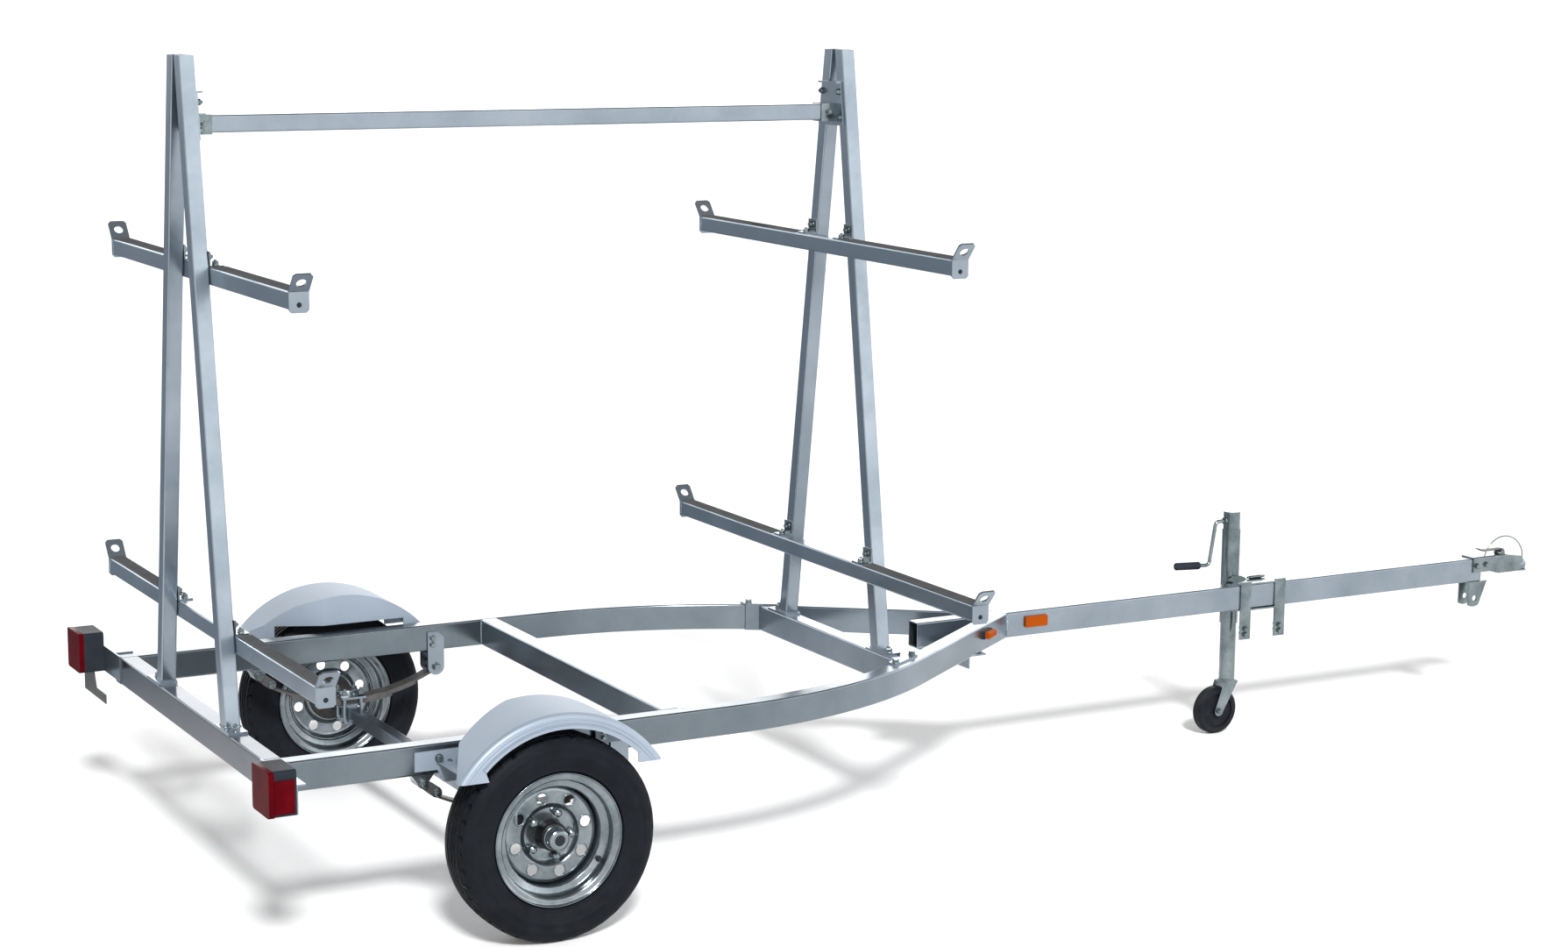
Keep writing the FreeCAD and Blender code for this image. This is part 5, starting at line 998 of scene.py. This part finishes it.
def lens(side):
    low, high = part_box("tail_lens_" + side)
    depth = 0.014
    shape = bmesh.new()
    middle = Vector((low.x + depth / 2, (low.y + high.y) / 2, (low.z + high.z) / 2))
    block(shape, middle, (depth, high.y - low.y, high.z - low.z))
    along = [e for e in shape.edges if abs(e.verts[0].co.x - e.verts[1].co.x) > depth / 2]
    round_edges(shape, along, 0.009, 4)
    rear = [f for f in shape.faces if f.normal.x < -0.9]
    bmesh.ops.inset_region(shape, faces=rear, thickness=RIM_WIDTH, depth=0.0, use_even_offset=True)
    inner = max((f for f in shape.faces if f.normal.x < -0.9), key=lambda f: len(f.verts))
    pressed = bmesh.ops.extrude_face_region(shape, geom=[inner])["geom"]
    push(shape, pressed, (FACE_DROP, 0.0, 0.0))
    bottom, top = low.z + 0.012, high.z - 0.012

    def dropped_faces():
        return [f for f in shape.faces if f.normal.x < -0.9
                and abs(f.calc_center_median().x - low.x - FACE_DROP) < 1e-5]

    for step in range(RIBS + 1):
        level = bottom + (top - bottom) * step / RIBS
        face = dropped_faces()
        edges = list({e for f in face for e in f.edges})
        geometry = face + edges + list({v for f in face for v in f.verts})
        bmesh.ops.bisect_plane(shape, geom=geometry, plane_co=(low.x, middle.y, level), plane_no=(0, 0, 1))
    strips = [f for f in dropped_faces() if bottom < f.calc_center_median().z < top
              and int((f.calc_center_median().z - bottom) / (top - bottom) * RIBS) % 2]
    for strip in strips:
        sunk = bmesh.ops.extrude_face_region(shape, geom=[strip])["geom"]
        push(shape, sunk, (RIB_DROP, 0.0, 0.0))
    outer = high.y if side == "left" else low.y
    wrap = bmesh.new()
    wrap_low = Vector((low.x + depth - 0.002, outer - outward[side] * 0.005, low.z + 0.009))
    wrap_high = Vector((high.x, outer, high.z - 0.022))
    middle = (wrap_low + wrap_high) / 2
    size = wrap_high - wrap_low
    block(wrap, middle, (size.x, abs(size.y), size.z))
    round_edges(wrap, wrap.edges[:], 0.0012, 2)
    add_to(shape, wrap)
    piece = save_piece(shape, f"ribbed_lens_{side}", "chassis", "red_lens", 30.0)
    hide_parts(f"tail_lens_{side}")
    return piece


for side in SIDES:
    print(side, "lens:", len(lens(side).data.polygons), "faces")
shape = bmesh.new()
for side in SIDES:
    low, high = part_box("tail_lens_" + side)
    for z in (low.z + 0.0085, high.z - 0.0085):
        place = Vector((low.x + FACE_DROP, (low.y + high.y) / 2, z))
        disc_between(shape, place, -FORWARD, 3.2, -1.0, 1.0, 2.6)
save_piece(shape, "lens_screws", "chassis", "zinc_steel", 30.0)
print("lens screws done")

# %% [markdown]
# ### Coupler and jack
# The coupler has two bolt heads on each side, and a bent spring wire that keeps the latch shut. Two bolts
# go through the foot of each strap of the jack's clamp, under the tongue. The caster's wheel turns on a
# bolt with a nut at each end.

# %% Coupler and clamp bolts
shape = bmesh.new()
COUPLER_BOLTS, COUPLER_SIDE = ((3661, 466), (3700, 468)), 29.9
STRAPS_X, STRAP_BOLTS_Z = (2720, 2853), (334, 352)
STRAP_FACES = (-30.4, -25.4)     # its outer and inner face
for hand in (-1, 1):
    for x, z in COUPLER_BOLTS:
        bolt_head(shape, at(x, hand * COUPLER_SIDE, z), LEFT * hand, 9.5)
for x in STRAPS_X:
    for z in STRAP_BOLTS_Z:
        bolt_head(shape, at(x, STRAP_FACES[0], z), -LEFT, 9.0)
        nut(shape, at(x, STRAP_FACES[1], z), LEFT, 9.0, 14.0)
save_piece(shape, "coupler_bolts", "chassis", "zinc_steel", 30.0)
print("coupler bolts done")

# %% Spring wire of the latch
shape = bmesh.new()
hub_of_arc = at(3778, -23.5, 470)
first = math.radians(16.0)
start = hub_of_arc + Vector((math.cos(first), 0.0, math.sin(first))) * 0.085
round_outline(shape, start, Vector((-math.sin(first), 0.0, math.cos(first))), 2.2)
turn(shape, hub_of_arc, -AXLE_WAY, 48, math.pi - 2 * first)
for way in (1, -1):                    # straight feet, as long as it is down to the coupler
    tip = Vector((2 * hub_of_arc.x - start.x if way < 0 else start.x, start.y, start.z))
    reached, foot, _, _ = frame["nodes"]["coupler_body"].ray_cast(tip + UP * 0.05, -UP)
    ring = [e for e in shape.edges if e.is_boundary and (e.verts[0].co.x - hub_of_arc.x) * way > 0]
    grown = bmesh.ops.extrude_edge_only(shape, edges=ring)["geom"]
    push(shape, grown, (0.0, 0.0, foot.z - tip.z - 0.001))
    print("wire foot found:", reached, "drop, mm:", round((tip.z - foot.z) * 1000, 1))
bmesh.ops.holes_fill(shape, edges=[e for e in shape.edges if e.is_boundary], sides=0)
wire_loop = save_piece(shape, "latch_wire", "chassis", "zinc_steel", 60.0)
print("latch wire top, mm:", round(max(v.co.z for v in wire_loop.data.vertices) * 1000))

# %% Caster nuts
shape = bmesh.new()
low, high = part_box("caster_fork")
wheel_low, wheel_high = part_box("caster_wheel")
pin = (wheel_low + wheel_high) / 2
for hand, y in ((-1, low.y + 0.005), (1, high.y - 0.005)):
    nut(shape, Vector((pin.x, y, pin.z)), LEFT * hand, 10.0, 1.0)
save_piece(shape, "caster_nuts", "caster", "zinc_steel", 30.0)
print("caster nuts done")

# %% Crank grip
low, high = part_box("crank_grip")
way = Vector((-126.0, 0.0, 6.0)).normalized()
side_way = way.cross(LEFT).normalized()
start = (low + high) / 2 - way * 0.046
section = [(0.0, 7.0), (0.0, 9.0), (1.2, 10.8), (3.5, 12.0)]
for step in range(9):
    groove = 9.0 + step * 8.5
    section += [(groove, 12.0), (groove + 1.0, 11.0), (groove + 2.4, 11.0), (groove + 3.4, 12.0)]
section += [(88.5, 12.0), (90.8, 10.8), (92.0, 9.0), (92.0, 7.0)]
shape = bmesh.new()
wire(shape, [start + way * (along / 1000.0) + side_way * (size / 1000.0) for along, size in section])
turn(shape, start, way, 32)
grip = save_piece(shape, "ribbed_grip", "jack_handle", "grip_plastic", 40.0)
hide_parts("crank_grip")
print("grip:", len(grip.data.polygons), "faces")

# %% [markdown]
# ## Floor and light
# A plain pale floor runs far out, so that its edge is never near. Zinc shows little colour of its own and
# mostly mirrors the room, so the light decides how it looks. A bright band low round the room turns the
# tops of the tubes white, the ceiling above it is dimmer, and one broad soft lamp from the near side
# throws pale shadows. The rear end of the room is dimmer, so faces that look that way go dark.
# In a studio a black cloth beyond the subject does the same for what is low down. Here the floor beyond
# the trailer looks dark only when it is seen in a mirror, which the Light Path node can tell.

# %% Floor
floor_mesh = bmesh.new()
bmesh.ops.create_circle(floor_mesh, cap_ends=True, segments=64, radius=400.0)
floor_data = bpy.data.meshes.new("floor")
floor_mesh.to_mesh(floor_data)
floor_mesh.free()
floor = bpy.data.objects.new("floor", floor_data)
scene.collection.objects.link(floor)
floor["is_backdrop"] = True
tree, shader = finish("studio_floor", Roughness=0.8, Specular_IOR_Level=0.1)
mottle = use(tree, grain, Pebble_Scale=60.0, Wave_Scale=0.8, Wave_Share=0.7)
pale = mixed(tree, mottle.outputs["Value"], (0.87, 0.87, 0.87), (0.89, 0.89, 0.89))
split = node(tree, "ShaderNodeSeparateXYZ")
tree.links.new(node(tree, "ShaderNodeTexCoord").outputs["Object"], split.inputs[0])
beyond = number(tree, "MULTIPLY_ADD", split.outputs["Y"], 0.6, -0.55, clamp=True)
in_mirror = number(tree, "MULTIPLY", beyond, node(tree, "ShaderNodeLightPath").outputs["Is Glossy Ray"])
feed(tree, shader, Base_Color=mixed(tree, in_mirror, pale, (0.17, 0.205, 0.25)))
floor_data.materials.append(FINISHES["studio_floor"])
print("floor is", round(floor.dimensions.x), "m across")

# %% The room's glow
world = bpy.data.worlds.new("studio")
world.use_nodes = True
scene.world = world
tree = world.node_tree
sky = tree.nodes["Background"]
where = node(tree, "ShaderNodeTexCoord").outputs["Generated"]
split = node(tree, "ShaderNodeSeparateXYZ")
tree.links.new(where, split.inputs[0])
band = ramp(tree, split.outputs["Z"], (0.0, 1.0), (0.42, 1.0), (0.56, 0.18), (1.0, 0.12))
rear = ramp(tree, number(tree, "MULTIPLY_ADD", split.outputs["X"], 0.5, 0.5), (0.10, 0.40), (0.50, 1.0))
side = ramp(tree, number(tree, "MULTIPLY_ADD", split.outputs["Y"], 0.5, 0.5), (0.20, 0.72), (0.75, 1.0))
walls = mixed(tree, 1.0, rear, side, "MULTIPLY")
tree.links.new(mixed(tree, 1.0, band, walls, "MULTIPLY"), sky.inputs["Color"])
sky.inputs["Strength"].default_value = 2.85
print("glow strength:", sky.inputs["Strength"].default_value)

# %% The key lamp
key_data = bpy.data.lights.new("key_lamp", "SUN")
key_data.energy = 3.6
key_data.angle = math.radians(9.0)
key_lamp = bpy.data.objects.new("key_lamp", key_data)
key_lamp.rotation_euler = Vector((0.16, 0.50, -0.45)).to_track_quat("-Z", "Y").to_euler()
scene.collection.objects.link(key_lamp)
scene.view_settings.view_transform = "Standard"
print("key lamp is", round(math.degrees(key_data.angle)), "degrees wide")

# %% [markdown]
# ## The shown model's size
# The size of the shown model's box is printed. The shown model has to stay inside the CAD model's
# box.

# %% Size of the shown model
low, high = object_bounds()
print("shown model, m:", [round(v, 3) for v in high - low])
